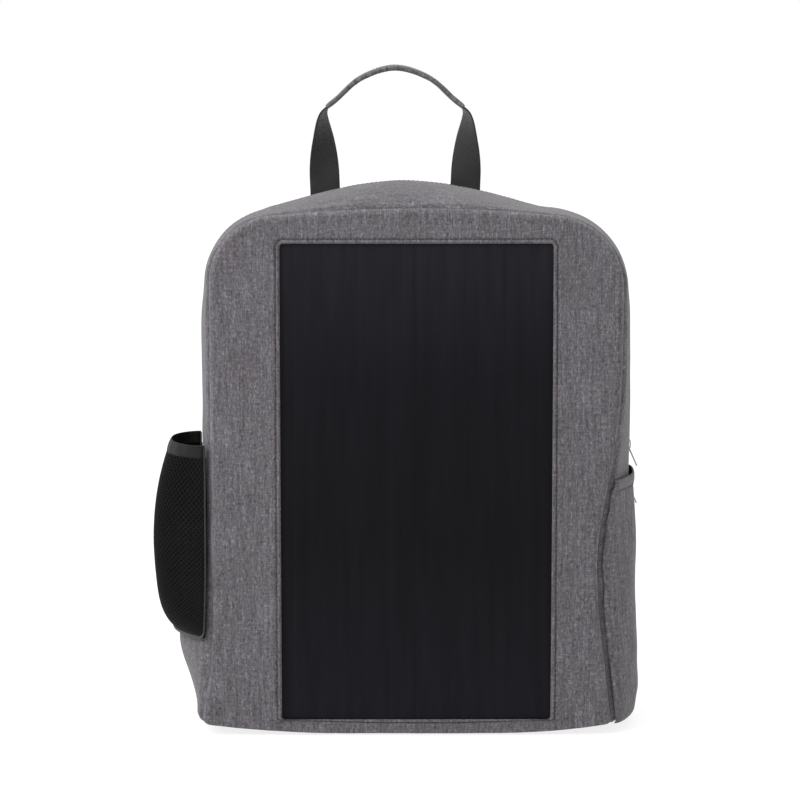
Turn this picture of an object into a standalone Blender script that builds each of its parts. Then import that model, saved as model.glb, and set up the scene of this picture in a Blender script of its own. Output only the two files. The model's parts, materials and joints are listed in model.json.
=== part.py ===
"""A daypack with a solar laminate sewn into its front face.

+Z is up, the solar face looks along -Y, and the origin is on the floor under the middle of the base.
The front shell (solar face, gusset, base, pockets) stands on the floor. The back shell (back panel,
laptop sleeve, shoulder straps, handle) is zipped to it and folds away backwards about the base's
rear edge once the zip is open.
"""

import math

import bmesh
import bpy
from mathutils import Matrix, Vector

# Driving dimensions, in metres.
HALF_WIDTH = 0.167  # of the front face, seam to seam
HEIGHT = 0.430  # floor to the middle of the front face's top seam
HALF_DEPTH = 0.068  # between the front and back seams
TOP_RADII = (0.055, 0.060)  # left and right
BASE_RADIUS = 0.010
TOP_ARCH = 0.006  # rise of the top seam between its corners
BASE_FLAT = 0.060  # half the width that rests on the floor
BASE_LIFT = 0.008  # rise of the base's corners
CROWN_PUFF = 0.0155  # how far the gusset swells past its seams, half-way back
CROWN_PEAK = -0.012  # x of the crown's highest place
CROWN_REACH = 0.115  # from there to where the crown no longer swells
LEFT_PUFF = 0.010
RIGHT_PUFF = 0.0085
LOW_PUFF = 0.0205  # the extra swell low on the left side
LOW_PUFF_Z = 0.070
LOW_PUFF_REACH = 0.046
REAR_SLUMP = 0.0045  # how far the top corners slope down from front to back
TAPER_FROM = 0.347  # the sides swell less and less above this height
DENT = 0.019  # how far the right front seam is drawn in, at its deepest
DENT_Z = 0.140
DENT_REACH = (0.120, 0.085)  # below and above its deepest
DENT_DEPTH = 0.053  # how far back from the front seam it fades
FRONT_PUFF = 0.008

CLOTH = 0.0016  # outer cloth with its lining
THIN_CLOTH = 0.0012
GAP = 0.0003  # between pieces that lie on each other
WEBBING = 0.025
WEBBING_THICK = 0.0015

WINDOW_HALF = 0.109
WINDOW_LOW = 0.013
WINDOW_HIGH = 0.401
WINDOW_RADIUS = 0.003
FACING_WIDTH = 0.007
FACING_THICK = 0.001
FILM = 0.0005
CELLS = 0.0004
BACKSHEET = 0.0012
LAMINATE_MARGIN = 0.005
LINING_GAP = 0.0012

ZIP_Y = 0.024  # depth of the zip's centre line
TAPE_EDGE = 0.0018  # from the centre line to each tape's inner edge
BEAD_EDGE = 0.0009
BEAD_WIDTH = 0.0022
BEAD_THICK = 0.0017
TAPE_THICK = 0.0008
GUSSET_EDGE = 0.0095  # from the centre line to each gusset's edge
TAPE_LAP = 0.002  # how far a tape runs under its gusset
ZIP_FOOT = 0.022  # height of the zip's two ends
SLIDER_HEIGHTS = {"upper": 0.2245, "lower": 0.1930}
SLIDER_LENGTH = 0.013
SLIDER_HALF_WIDTH = 0.0045
PULL_LENGTH = 0.018
PULL_TILT = math.radians(24)

BACK_FACE = HALF_DEPTH + GAP + CLOTH
BACK_HINGE = Vector((0, 0.0765, 0.004))
STRAP_HINGE_Z = 0.409
STRAP_HINGE_Y = 0.0722
HANDLE_X = -0.0165
HANDLE_HINGE = Vector((HANDLE_X, 0.069, 0.4303))
HANDLE_HALF_SPAN = 0.0585
STRAP_FOAM = 0.009
STRAP_LINER = 0.0022

LOOP_STEPS = (5, 3, 8, 6, 5)  # base half, base corner, side, top corner, top half
RIM_START = LOOP_STEPS[0] + LOOP_STEPS[1]  # the loop's first point above the base corner
LOOP_LENGTH = 2 * sum(LOOP_STEPS)

FINISHES = {
    "melange_cloth": ((0.15, 0.145, 0.155, 1), 0.95, 0.0),
    "black_mesh": ((0.012, 0.012, 0.013, 1), 0.9, 0.0),
    "black_webbing": ((0.018, 0.018, 0.02, 1), 0.8, 0.0),
    "solar_film": ((0.01, 0.01, 0.013, 1), 0.35, 0.0),
    "solar_cell": ((0.008, 0.008, 0.012, 1), 0.3, 0.2),
    "laminate_back": ((0.6, 0.6, 0.6, 1), 0.6, 0.0),
    "black_plastic": ((0.02, 0.02, 0.02, 1), 0.45, 0.0),
    "lining_cloth": ((0.03, 0.03, 0.033, 1), 0.85, 0.0),
    "foam": ((0.06, 0.06, 0.065, 1), 0.95, 0.0),
    "nickel": ((0.6, 0.6, 0.6, 1), 0.3, 1.0),
    "lead_jacket": ((0.015, 0.015, 0.015, 1), 0.6, 0.0),
}


def finish_of(name):
    found = bpy.data.materials.get(name)
    if found:
        return found
    colour, roughness, metallic = FINISHES[name]
    made = bpy.data.materials.new(name)
    made.use_nodes = True
    shader = made.node_tree.nodes["Principled BSDF"]
    shader.inputs["Base Color"].default_value = colour
    shader.inputs["Roughness"].default_value = roughness
    shader.inputs["Metallic"].default_value = metallic
    made.diffuse_color = colour
    return made


def add_object(name, mesh, finish, joint=None):
    """Links the mesh as an object. Its points are in the bag's own frame, whatever joint carries it."""
    obj = bpy.data.objects.new(name, mesh)
    bpy.context.scene.collection.objects.link(obj)
    mesh.materials.append(finish_of(finish))
    if joint:
        obj.parent = joint
        obj.location = -world_place(joint)
    return obj


def world_place(joint):
    place = joint.location.copy()
    while joint.parent:
        joint = joint.parent
        place += joint.location
    return place


def joint_at(name, place, parent=None):
    """An empty on a joint's axis, which carries the pieces that move about it."""
    empty = bpy.data.objects.new(name, None)
    bpy.context.scene.collection.objects.link(empty)
    empty.location = place
    if parent:
        empty.parent = parent
        empty.location = place - world_place(parent)
    return empty


def mesh_from(bm, name, smooth=True):
    mesh = bpy.data.meshes.new(name)
    bm.to_mesh(mesh)
    bm.free()
    if smooth:
        mesh.shade_smooth()
        mesh.set_sharp_from_angle(angle=math.radians(35))
    return mesh


def sheet(name, finish, surface, columns, rows, thickness, joint=None, closed=False):
    """A skin whose outer side is the grid surface(i, j), thickened inwards."""
    bm = bmesh.new()
    last = columns if closed else columns + 1
    grid = [[bm.verts.new(surface(i, j)) for j in range(rows + 1)] for i in range(last)]
    for i in range(columns):
        here, after = grid[i], grid[(i + 1) % last]
        for j in range(rows):
            bm.faces.new((here[j], after[j], after[j + 1], here[j + 1]))
    obj = add_object(name, mesh_from(bm, name), finish, joint)
    skin = obj.modifiers.new("Thickness", "SOLIDIFY")
    skin.thickness = thickness
    skin.offset = -1
    skin.use_even_offset = True
    return obj


def loft(name, finish, rings, joint=None):
    """A closed solid through rings of points, with a cap at each end."""
    bm = bmesh.new()
    loops = [[bm.verts.new(p) for p in ring] for ring in rings]
    count = len(loops[0])
    for low, high in zip(loops, loops[1:]):
        for k in range(count):
            after = (k + 1) % count
            bm.faces.new((low[k], low[after], high[after], high[k]))
    bm.faces.new(list(reversed(loops[0])))
    bm.faces.new(loops[-1])
    bmesh.ops.recalc_face_normals(bm, faces=bm.faces)
    return add_object(name, mesh_from(bm, name), finish, joint)


def box_mesh(name, low, high, turn=None):
    bm = bmesh.new()
    bmesh.ops.create_cube(bm, size=1)
    size = Vector(high) - Vector(low)
    centre = (Vector(high) + Vector(low)) / 2
    bmesh.ops.scale(bm, vec=size, verts=bm.verts)
    bmesh.ops.translate(bm, vec=centre, verts=bm.verts)
    if turn:
        bmesh.ops.transform(bm, matrix=turn, verts=bm.verts)
    return mesh_from(bm, name, smooth=False)


def block(name, finish, low, high, joint=None, bevel=0.0, turn=None):
    obj = add_object(name, box_mesh(name, low, high, turn), finish, joint)
    if bevel:
        edge = obj.modifiers.new("Edges", "BEVEL")
        edge.width = bevel
        edge.segments = 2
    return obj


def combine(obj, operation, low, high, turn=None):
    """Cuts or joins a box into obj. The box stays as a hidden helper."""
    helper = add_object(obj.name + "_helper", box_mesh("helper", low, high, turn), "foam", obj.parent)
    helper.hide_render = True
    helper.display_type = "WIRE"
    step = obj.modifiers.new(operation.title(), "BOOLEAN")
    step.operation = operation
    step.object = helper
    return obj


def plate(name, finish, loop, front, back, joint=None, bevel=0.0):
    """A flat plate across the depth from front to back, with the (x, z) outline loop."""
    bm = bmesh.new()
    face = bm.faces.new([bm.verts.new((x, front, z)) for x, z in loop])
    moved = bmesh.ops.extrude_face_region(bm, geom=[face])["geom"]
    ends = [v for v in moved if isinstance(v, bmesh.types.BMVert)]
    bmesh.ops.translate(bm, vec=(0, back - front, 0), verts=ends)
    bmesh.ops.recalc_face_normals(bm, faces=bm.faces)
    obj = add_object(name, mesh_from(bm, name), finish, joint)
    if bevel:
        edge = obj.modifiers.new("Edges", "BEVEL")
        edge.width = bevel
        edge.segments = 2
        edge.limit_method = "ANGLE"
        edge.angle_limit = math.radians(60)
    return obj


# Outlines and curves.


def rounded_loop(half, low, high, low_radius, high_radius, arch=0.0, lift=0.0, steps=LOOP_STEPS):
    """(x, z) points of a rounded rectangle, from the middle of its bottom edge, up its left side."""
    base, low_corner, side, high_corner, top = steps
    foot = half - low_radius
    shoulder = half - high_radius
    low_centre = low + lift + low_radius
    high_centre = high - arch - high_radius
    left = []
    for i in range(base):
        x = foot * i / base
        rise = max(0.0, x - BASE_FLAT) / max(foot - BASE_FLAT, 1e-6)
        left.append((-x, low + lift * rise**2))
    for i in range(low_corner):
        turn = math.pi / 2 * i / low_corner
        left.append((-foot - low_radius * math.sin(turn), low_centre - low_radius * math.cos(turn)))
    for i in range(side):
        left.append((-half, low_centre + (high_centre - low_centre) * i / side))
    for i in range(high_corner):
        turn = math.pi / 2 * i / high_corner
        left.append((-shoulder - high_radius * math.cos(turn), high_centre + high_radius * math.sin(turn)))
    for i in range(top + 1):
        x = shoulder * (1 - i / top)
        left.append((-x, high - arch * (x / shoulder) ** 2))
    return left + [(-x, z) for x, z in reversed(left[1:-1])]


def outline(inset=0.0):
    """The seam's outline, or one that far inside it. Its top corners differ, and it has no dent."""
    halves = [
        rounded_loop(
            HALF_WIDTH - inset,
            inset,
            HEIGHT - inset,
            max(BASE_RADIUS - inset, 0.003),
            radius - inset,
            TOP_ARCH,
            BASE_LIFT,
        )
        for radius in TOP_RADII
    ]
    middle = LOOP_LENGTH // 2
    return halves[0][: middle + 1] + halves[1][middle + 1 :]


def dented(x, z, y=-HALF_DEPTH):
    """x moved in by the dent along the right side's front seam, which fades to nothing further back."""
    reach = DENT_REACH[z > DENT_Z]
    depth = DENT * math.exp(-(((z - DENT_Z) / reach) ** 2))
    side = min(1.0, max(0.0, (x - WINDOW_HALF - FACING_WIDTH) / (HALF_WIDTH - WINDOW_HALF - FACING_WIDTH)))
    back = min(1.0, (y + HALF_DEPTH) / DENT_DEPTH)
    return x - depth * side * (1 - back) ** 2


def with_normals(loop):
    """(x, z, nx, nz) at each point of a closed loop that runs clockwise seen from the front."""
    found = []
    for i, (x, z) in enumerate(loop):
        before, after = loop[i - 1], loop[(i + 1) % len(loop)]
        along = Vector((after[0] - before[0], after[1] - before[1])).normalized()
        found.append((x, z, -along.y, along.x))
    return found


def smooth_path(points, count):
    """Points along a Catmull-Rom curve through the given ones, evenly spread in its parameter."""
    ends = [points[0] * 2 - points[1]] + list(points) + [points[-1] * 2 - points[-2]]
    path = []
    for i in range(count + 1):
        at = i / count * (len(points) - 1)
        k = min(int(at), len(points) - 2)
        t = at - k
        a, b, c, d = ends[k : k + 4]
        path.append(
            0.5
            * (
                2 * b
                + (c - a) * t
                + (2 * a - 5 * b + 4 * c - d) * t**2
                + (3 * b - a - 3 * c + d) * t**3
            )
        )
    return path


def section(centre, across, out, half_width, half_thick, corner=0.0, lanes=1):
    """One ring of a flat band: a rectangle, its faces cut in lanes, or an octagon where corner is given."""
    if not corner:
        spread = [2 * k / lanes - 1 for k in range(lanes + 1)]
        spots = [(a, -1) for a in spread] + [(a, 1) for a in reversed(spread)]
        return [centre + across * half_width * a + out * half_thick * b for a, b in spots]
    wide, thin = half_width - corner, half_thick - min(corner, half_thick * 0.7)
    spots = (
        (-wide, -half_thick),
        (wide, -half_thick),
        (half_width, -thin),
        (half_width, thin),
        (wide, half_thick),
        (-wide, half_thick),
        (-half_width, thin),
        (-half_width, -thin),
    )
    return [centre + across * a + out * b for a, b in spots]


def band_rings(path, across_at, half_width, half_thick, corner=0.0, offset=0.0, lanes=1):
    """Rings of a band along path. across_at(i) is about its width's direction at point i."""
    rings = []
    for i, centre in enumerate(path):
        along = (path[min(i + 1, len(path) - 1)] - path[max(i - 1, 0)]).normalized()
        out = across_at(i).cross(along).normalized()
        across = along.cross(out).normalized()
        width = half_width(i) if callable(half_width) else half_width
        rings.append(section(centre + out * offset, across, out, width, half_thick, corner, lanes))
    return rings


# The shell's skin.

OUTLINE = with_normals(outline())
SEAM_Z = OUTLINE[RIM_START][1] + 0.001  # where the base's cloth meets the gusset's
RIM = [
    (-HALF_WIDTH, SEAM_Z + GAP, -1.0, 0.0),
    *OUTLINE[RIM_START + 1 : LOOP_LENGTH - RIM_START],
    (HALF_WIDTH, SEAM_Z + GAP, 1.0, 0.0),
]
BASE = [
    (HALF_WIDTH, SEAM_Z, 1.0, 0.0),
    *OUTLINE[LOOP_LENGTH - RIM_START :],
    *OUTLINE[: RIM_START + 1],
    (-HALF_WIDTH, SEAM_Z, -1.0, 0.0),
]


def swell(y):
    return 1 - (y / HALF_DEPTH) ** 2


def puff(x, z, nx, nz):
    low = LOW_PUFF * math.exp(-(((z - LOW_PUFF_Z) / LOW_PUFF_REACH) ** 2))
    side = LEFT_PUFF + low if x < 0 else RIGHT_PUFF
    side *= 1 - 0.8 * ease((z - TAPER_FROM) / (HEIGHT - TAPER_FROM))
    from_peak = math.hypot(x - CROWN_PEAK, 0.012) - 0.012
    crown = CROWN_PUFF * max(0.0, 1 - (from_peak / CROWN_REACH) ** 1.3)
    return side * nx**2 + (crown * nz**2 if nz > 0 else 0)


def ease(share):
    """From 0 to 1, starting and ending gently."""
    share = min(1.0, max(0.0, share))
    return share**2 * (3 - 2 * share)


def slump(x, y, nz):
    """How far down a point near a top corner lies from the straight sweep of the seam."""
    return REAR_SLUMP * ease((abs(x) - 0.055) / 0.075) * ease((y + 0.010) / 0.078) * max(0.0, nz)


def rear_outline(inset=0.0):
    """The back panel's outline, or one that far inside it."""
    return [(x, z - slump(x, HALF_DEPTH, nz)) for x, z, nx, nz in with_normals(outline(inset))]


def skin_point(rim_point, y, inset=0.0):
    """A point of the gusset's outer surface, or that far inside it. The base stays flat."""
    x, z, nx, nz = rim_point
    out = puff(x, z, nx, nz) * swell(y)
    across = dented(x, z, y) + nx * (out - inset)
    return Vector((across, y, z + nz * ((out if nz > 0 else 0) - inset) - slump(x, y, nz)))


def rim_strip(name, finish, front, back, inset, thickness, foot=None, rows=1, joint=None):
    """A strip up one side of the bag, over its crown and down the other, from depth front to back."""
    points = list(RIM)
    if foot:
        points = [p for p in points if p[1] > foot + 0.004]
        points = [(-HALF_WIDTH, foot, -1.0, 0.0), *points, (HALF_WIDTH, foot, 1.0, 0.0)]

    def surface(i, j):
        return skin_point(points[i], front + (back - front) * j / rows, inset)

    return sheet(name, finish, surface, len(points) - 1, rows, thickness, joint)


def front_point(x, z, behind=0.0):
    """A point of the solar face's outer surface, or that far behind it."""
    across = max(0.0, 1 - (x / HALF_WIDTH) ** 2)
    along = max(0.0, 1 - (2 * z / HEIGHT - 1) ** 2)
    return Vector((x, -HALF_DEPTH - GAP - CLOTH - FRONT_PUFF * across * along + behind, z))


def make_front_face():
    window = rounded_loop(
        WINDOW_HALF, WINDOW_LOW, WINDOW_HIGH, WINDOW_RADIUS, WINDOW_RADIUS
    )
    facing_edge = rounded_loop(
        WINDOW_HALF + FACING_WIDTH,
        WINDOW_LOW - FACING_WIDTH,
        WINDOW_HIGH + FACING_WIDTH,
        WINDOW_RADIUS,
        WINDOW_RADIUS,
    )
    outer = [(dented(x, z), z) for x, z in outline()]
    rows = 3

    def between(inner_loop, outer_loop, i, share, behind=0.0):
        (ax, az), (bx, bz) = inner_loop[i], outer_loop[i]
        return front_point(ax + (bx - ax) * share, az + (bz - az) * share, behind)

    sheet(
        "front_panel",
        "melange_cloth",
        lambda i, j: between(window, outer, i, j / rows),
        LOOP_LENGTH,
        rows,
        CLOTH,
        closed=True,
    )
    raised = -GAP - FACING_THICK
    sheet(
        "window_facing",
        "melange_cloth",
        lambda i, j: between(window, facing_edge, i, j, raised),
        LOOP_LENGTH,
        1,
        FACING_THICK,
        closed=True,
    )


def laminate_layer(name, finish, left, right, low, high, behind, thickness, columns=6, rows=10):
    def surface(i, j):
        return front_point(
            left + (right - left) * i / columns, low + (high - low) * j / rows, behind
        )

    sheet(name, finish, surface, columns, rows, thickness)


def make_laminate():
    edge = WINDOW_HALF + LAMINATE_MARGIN
    low, high = WINDOW_LOW - LAMINATE_MARGIN, WINDOW_HIGH + LAMINATE_MARGIN
    depth = CLOTH + GAP
    laminate_layer("solar_cover_film", "solar_film", -edge, edge, low, high, depth, FILM)
    depth += FILM + GAP
    cell_low, cell_high = WINDOW_LOW + 0.004, WINDOW_HIGH - 0.004
    far, near = WINDOW_HALF - 0.003, 0.0012
    strings = (("solar_cell_string_left", -far, -near), ("solar_cell_string_right", near, far))
    for name, left, right in strings:
        laminate_layer(name, "solar_cell", left, right, cell_low, cell_high, depth, CELLS, 3)
    depth += CELLS + GAP
    laminate_layer("solar_backsheet", "laminate_back", -edge, edge, low, high, depth, BACKSHEET)
    return depth + BACKSHEET


def make_front_lining(depth):
    """The lining behind the laminate, open where the junction box stands through it."""
    hole = rounded_loop(0.040, 0.322, 0.386, 0.004, 0.004)
    edge = [(dented(x, z), z) for x, z in outline(0.003)]
    rows = 5

    def surface(i, j):
        (ax, az), (bx, bz) = hole[i], edge[i]
        share = j / rows
        return front_point(ax + (bx - ax) * share, az + (bz - az) * share, depth + LINING_GAP)

    sheet("front_lining", "lining_cloth", surface, LOOP_LENGTH, rows, 0.0008, closed=True)


def make_shell():
    rows = 7
    back = ZIP_Y - GUSSET_EDGE

    def side(i, j):
        return skin_point(RIM[i], -HALF_DEPTH + (back + HALF_DEPTH) * j / rows)

    sheet("gusset", "melange_cloth", side, len(RIM) - 1, rows, CLOTH)

    def base(i, j):
        return skin_point(BASE[i], -HALF_DEPTH + 2 * (HALF_DEPTH - 0.002) * j / rows)

    sheet("bottom_panel", "melange_cloth", base, len(BASE) - 1, rows, CLOTH)
    block("bottom_board", "black_plastic", (-0.105, -0.058, 0.0042), (0.105, 0.056, 0.0057))


def make_zip_half(side, gusset_side, joint=None):
    """One tape and its row of teeth. gusset_side is -1 in front of the centre line, 1 behind it."""
    tape = sorted(ZIP_Y + gusset_side * y for y in (TAPE_EDGE, GUSSET_EDGE + TAPE_LAP))
    teeth = sorted(ZIP_Y + gusset_side * y for y in (BEAD_EDGE, BEAD_EDGE + BEAD_WIDTH))
    tape_inset = CLOTH + 3 * GAP
    teeth_inset = tape_inset - GAP - BEAD_THICK
    rim_strip("zip_tape_" + side, "black_webbing", *tape, tape_inset, TAPE_THICK, ZIP_FOOT, 1, joint)
    rim_strip("zip_teeth_" + side, "black_plastic", *teeth, teeth_inset, BEAD_THICK, ZIP_FOOT, 1, joint)


def make_slider(name, height):
    """A zip slider on the right side, and the pull that hangs from its bridge."""
    face = skin_point((HALF_WIDTH, height, 1.0, 0.0), ZIP_Y).x
    half = SLIDER_LENGTH / 2
    plate_top = 0.0017
    bar_x, bar_z, bar = 0.0030, -0.0024, 0.0006
    slide = joint_at(name + "_slide", Vector((face, ZIP_Y, height)))

    def span(x0, x1, half_y, z0, z1, shift=0.0):
        return (
            (face + x0, ZIP_Y - half_y + shift, height + z0),
            (face + x1, ZIP_Y + half_y + shift, height + z1),
        )

    body = block(name + "_slider", "nickel", *span(0.0004, plate_top, SLIDER_HALF_WIDTH, -half, half), slide)
    combine(body, "UNION", *span(-0.0052, -0.0039, SLIDER_HALF_WIDTH, -half, half))
    combine(body, "UNION", *span(-0.0046, 0.0010, 0.0005, 0.001, 0.005))
    combine(body, "UNION", *span(plate_top - 0.0004, 0.0045, 0.0011, 0.0034, 0.0048))
    combine(body, "UNION", *span(plate_top - 0.0004, 0.0045, 0.0011, -0.0058, -0.0044))
    combine(body, "UNION", *span(0.0039, 0.0049, 0.0011, -0.0058, 0.0048))

    axis = Vector((face + bar_x, ZIP_Y, height + bar_z))
    hang = joint_at(name + "_pull_pivot", axis, slide)
    turn = Matrix.Translation(axis) @ Matrix.Rotation(-PULL_TILT, 4, "Y") @ Matrix.Translation(-axis)

    def hung(out, half_y, top, low):
        """A box about the pull's own bar, reaching top above it and low below it."""
        return axis + Vector((-out, -half_y, -low)), axis + Vector((out, half_y, top))

    pull = block(name + "_pull", "nickel", *hung(bar, 0.0037, bar, PULL_LENGTH), hang, turn=turn)
    combine(pull, "DIFFERENCE", *hung(0.002, 0.0025, -bar, 0.0062), turn)
    combine(pull, "DIFFERENCE", *hung(0.002, 0.0016, -PULL_LENGTH + 0.0050, PULL_LENGTH - 0.0022), turn)


# Pockets.


def left_side_point(z, y, out):
    face = skin_point((-HALF_WIDTH, z, -1.0, 0.0), y)
    return Vector((face.x - out, y, z))


def right_side_point(z, y, out):
    face = skin_point((HALF_WIDTH, z, 1.0, 0.0), y)
    return Vector((face.x + out, y, z))


POCKET_BACK, POCKET_FRONT = 0.012, -0.0655
MESH_LOW, MESH_HIGH = 0.080, 0.228
MESH_DEEPEST = 0.160
BAND_HEIGHT = 0.0095


def mesh_depth(z):
    if z < MESH_DEEPEST:
        return 0.038 * max(0.0, 1 - ((MESH_DEEPEST - z) / 0.082) ** 2) ** 0.75
    return 0.038 - 0.016 * ((z - MESH_DEEPEST) / 0.080) ** 2


def across_pocket(share):
    """1 in the pocket's middle, 0 at its seams."""
    return max(0.0, 1 - abs(2 * share - 1) ** 2.4) ** 0.55


def make_mesh_pocket():
    columns, rows = 12, 10

    def place(i, z, lift):
        share = i / columns
        y = POCKET_BACK + (POCKET_FRONT - POCKET_BACK) * (0.5 - 0.5 * math.cos(math.pi * share))
        even = (POCKET_BACK - y) / (POCKET_BACK - POCKET_FRONT)
        return left_side_point(z, y, 0.002 + lift + mesh_depth(z) * across_pocket(even))

    def net(i, j):
        share = math.sin(math.pi / 2 * j / rows)
        return place(i, MESH_HIGH - (MESH_HIGH - MESH_LOW) * (1 - share), 0.0)

    sheet("mesh_pocket", "black_mesh", net, columns, rows, THIN_CLOTH)

    def band(i, j):
        return place(i, MESH_HIGH + GAP + BAND_HEIGHT * j, 0.0006)

    sheet("mesh_pocket_band", "black_webbing", band, columns, 1, 0.0022)


SIDE_LOW, SIDE_HIGH = 0.024, 0.199
SIDE_DEPTHS = (0.0085, 0.0052)  # how far the slip pocket stands off, low and at its mouth
HEM_HEIGHT = 0.010


def make_side_pocket():
    columns, rows = 10, 5

    def place(i, z, lift):
        share = i / columns
        y = POCKET_FRONT + (POCKET_BACK - POCKET_FRONT) * share
        height = (z - SIDE_LOW) / (SIDE_HIGH - SIDE_LOW)
        low, high = SIDE_DEPTHS
        depth = (low + (high - low) * min(1.0, height)) * min(1.0, 0.45 + 5 * height)
        return right_side_point(z, y, 0.0024 + lift + depth * across_pocket(share))

    def cloth(i, j):
        return place(i, SIDE_LOW + (SIDE_HIGH - SIDE_LOW) * j / rows, 0.0)

    def hem(i, j):
        return place(i, SIDE_HIGH + GAP + HEM_HEIGHT * j, 0.0004)

    sheet("side_pocket", "melange_cloth", cloth, columns, rows, THIN_CLOTH)
    sheet("side_pocket_hem", "melange_cloth", hem, columns, 1, 0.0016)


# The electrical pieces behind the laminate.


def make_electrics(laminate_back):
    box_front = front_point(0.033, 0.381, laminate_back).y + GAP
    box_back = box_front + 0.0125
    block("junction_box", "black_plastic", (-0.032, box_front, 0.336), (0.032, box_back, 0.380))
    block(
        "junction_box_lid",
        "black_plastic",
        (-0.033, box_back + GAP, 0.335),
        (0.033, box_back + GAP + 0.0022, 0.381),
        bevel=0.0006,
    )
    exit_x, exit_y, exit_z = 0.020, box_front + 0.006, 0.3357
    gland = bpy.data.meshes.new("lead_gland")
    bm = bmesh.new()
    bmesh.ops.create_cone(bm, cap_ends=True, segments=12, radius1=0.0032, radius2=0.0042, depth=0.009)
    bmesh.ops.translate(bm, vec=(exit_x, exit_y, exit_z - 0.0045), verts=bm.verts)
    bm.to_mesh(gland)
    bm.free()
    add_object("lead_gland", gland, "black_plastic")

    box_low, box_high = Vector((0.064, -0.0640, 0.197)), Vector((0.106, -0.0500, 0.264))
    middle = (box_low.y + box_high.y) / 2
    block("usb_box_base", "black_plastic", box_low, (box_high.x, middle - GAP / 2, box_high.z))
    lid = block(
        "usb_box_lid", "black_plastic", (box_low.x, middle + GAP / 2, box_low.z), box_high
    )
    socket_low = Vector((0.0835, middle + 0.0008, box_high.z - 0.014))
    socket_high = Vector((0.0965, middle + 0.0062, box_high.z + 0.0005))
    room = Vector((GAP, GAP, 0))
    combine(lid, "DIFFERENCE", socket_low - room - Vector((0, 0, GAP)), socket_high + room)
    shell = block("usb_socket_shell", "nickel", socket_low, socket_high)
    wall = Vector((0.0004, 0.0004, 0))
    floor = Vector((0, 0, 0.001))
    past_mouth = Vector((0, 0, 0.01))
    combine(shell, "DIFFERENCE", socket_low + wall + floor, socket_high - wall + past_mouth)
    block(
        "usb_socket_tongue",
        "black_plastic",
        (socket_low.x + 0.0012, socket_low.y + 0.0007, socket_low.z + 0.0013),
        (socket_high.x - 0.0012, socket_low.y + 0.0017, socket_high.z - 0.0015),
    )

    lead_x = 0.073
    route = [
        Vector((exit_x, exit_y, exit_z - 0.009 - GAP)),
        Vector((exit_x + 0.001, exit_y + 0.001, 0.315)),
        Vector((0.032, -0.0625, 0.302)),
        Vector((0.055, -0.0595, 0.297)),
        Vector((0.070, middle, 0.285)),
        Vector((lead_x, middle - 0.0035, 0.272)),
        Vector((lead_x, middle - 0.0035, box_high.z + GAP)),
    ]
    points = smooth_path(route, 18)
    curve = bpy.data.curves.new("panel_lead", "CURVE")
    curve.dimensions = "3D"
    spline = curve.splines.new("POLY")
    spline.points.add(len(points) - 1)
    for spot, point in zip(spline.points, points):
        spot.co = (*point, 1)
    curve.bevel_depth = 0.0019
    curve.bevel_resolution = 2
    curve.use_fill_caps = True
    lead = bpy.data.objects.new("panel_lead", curve)
    curve.materials.append(finish_of("lead_jacket"))
    bpy.context.scene.collection.objects.link(lead)

    low, high = Vector((0.056, -0.0655, 0.188)), Vector((0.114, -0.0482, 0.262))
    pouch = block("usb_pocket", "lining_cloth", low, high)
    combine(
        pouch,
        "DIFFERENCE",
        low + Vector((THIN_CLOTH, -0.002, THIN_CLOTH)),
        high + Vector((-THIN_CLOTH, -THIN_CLOTH, 0.01)),
    )


# The back shell.


def make_back_shell(hinge):
    inner = rear_outline(0.006)
    clear = [(x, max(z, 0.0085)) for x, z in rear_outline()]
    plate("back_panel", "melange_cloth", clear, HALF_DEPTH + GAP, BACK_FACE, hinge)
    raised = [(x, max(z, 0.021)) for x, z in inner]
    plate("back_foam", "foam", raised, 0.0605, HALF_DEPTH, hinge)
    rim_strip(
        "rear_gusset",
        "melange_cloth",
        ZIP_Y + GUSSET_EDGE,
        HALF_DEPTH,
        0.0,
        CLOTH,
        ZIP_FOOT,
        4,
        hinge,
    )
    make_zip_half("rear", 1, hinge)

    low, high = Vector((-0.150, 0.0360, 0.0245)), Vector((0.150, 0.0600, 0.285))
    sleeve = block("laptop_sleeve", "lining_cloth", low, high, hinge)
    wall = 0.0025
    combine(sleeve, "DIFFERENCE", low + Vector((wall, wall, wall)), high + Vector((-wall, 0.01, 0.02)))
    block("laptop_strap", "black_webbing", (-0.020, 0.0587, 0.2900), (0.020, 0.0602, 0.3500), hinge)

    pad_face = BACK_FACE + GAP
    for side, sign in (("left", -1), ("right", 1)):
        shape = rounded_loop(0.052, 0.128, 0.352, 0.018, 0.022, steps=(3, 3, 4, 3, 3))
        moved = [(sign * 0.078 + x, z) for x, z in shape]
        plate("back_pad_" + side, "black_mesh", moved, pad_face, pad_face + 0.010, hinge, 0.004)
    lumbar = rounded_loop(0.105, 0.060, 0.116, 0.016, 0.016, steps=(4, 3, 2, 3, 4))
    plate("lumbar_pad", "black_mesh", lumbar, pad_face, pad_face + 0.010, hinge, 0.004)
    yoke = rounded_loop(0.090, 0.362, 0.4115, 0.004, 0.012, steps=(3, 1, 2, 3, 3))
    plate("strap_yoke", "black_webbing", yoke, pad_face, pad_face + 0.0016, hinge)
    for side, sign in (("left", -1), ("right", 1)):
        leg = HANDLE_X + sign * HANDLE_HALF_SPAN
        block(
            "handle_end_" + side,
            "black_webbing",
            (leg - WEBBING / 2, pad_face, 0.4122),
            (leg + WEBBING / 2, pad_face + WEBBING_THICK, 0.4290),
            hinge,
        )
        tab = [(sign * x, z) for x, z in ((0.163, 0.018), (0.163, 0.054), (0.128, 0.018))]
        plate("strap_anchor_" + side, "melange_cloth", tab, pad_face, pad_face + 0.003, hinge)


# Shoulder straps, described on the right and mirrored for the left.

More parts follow.
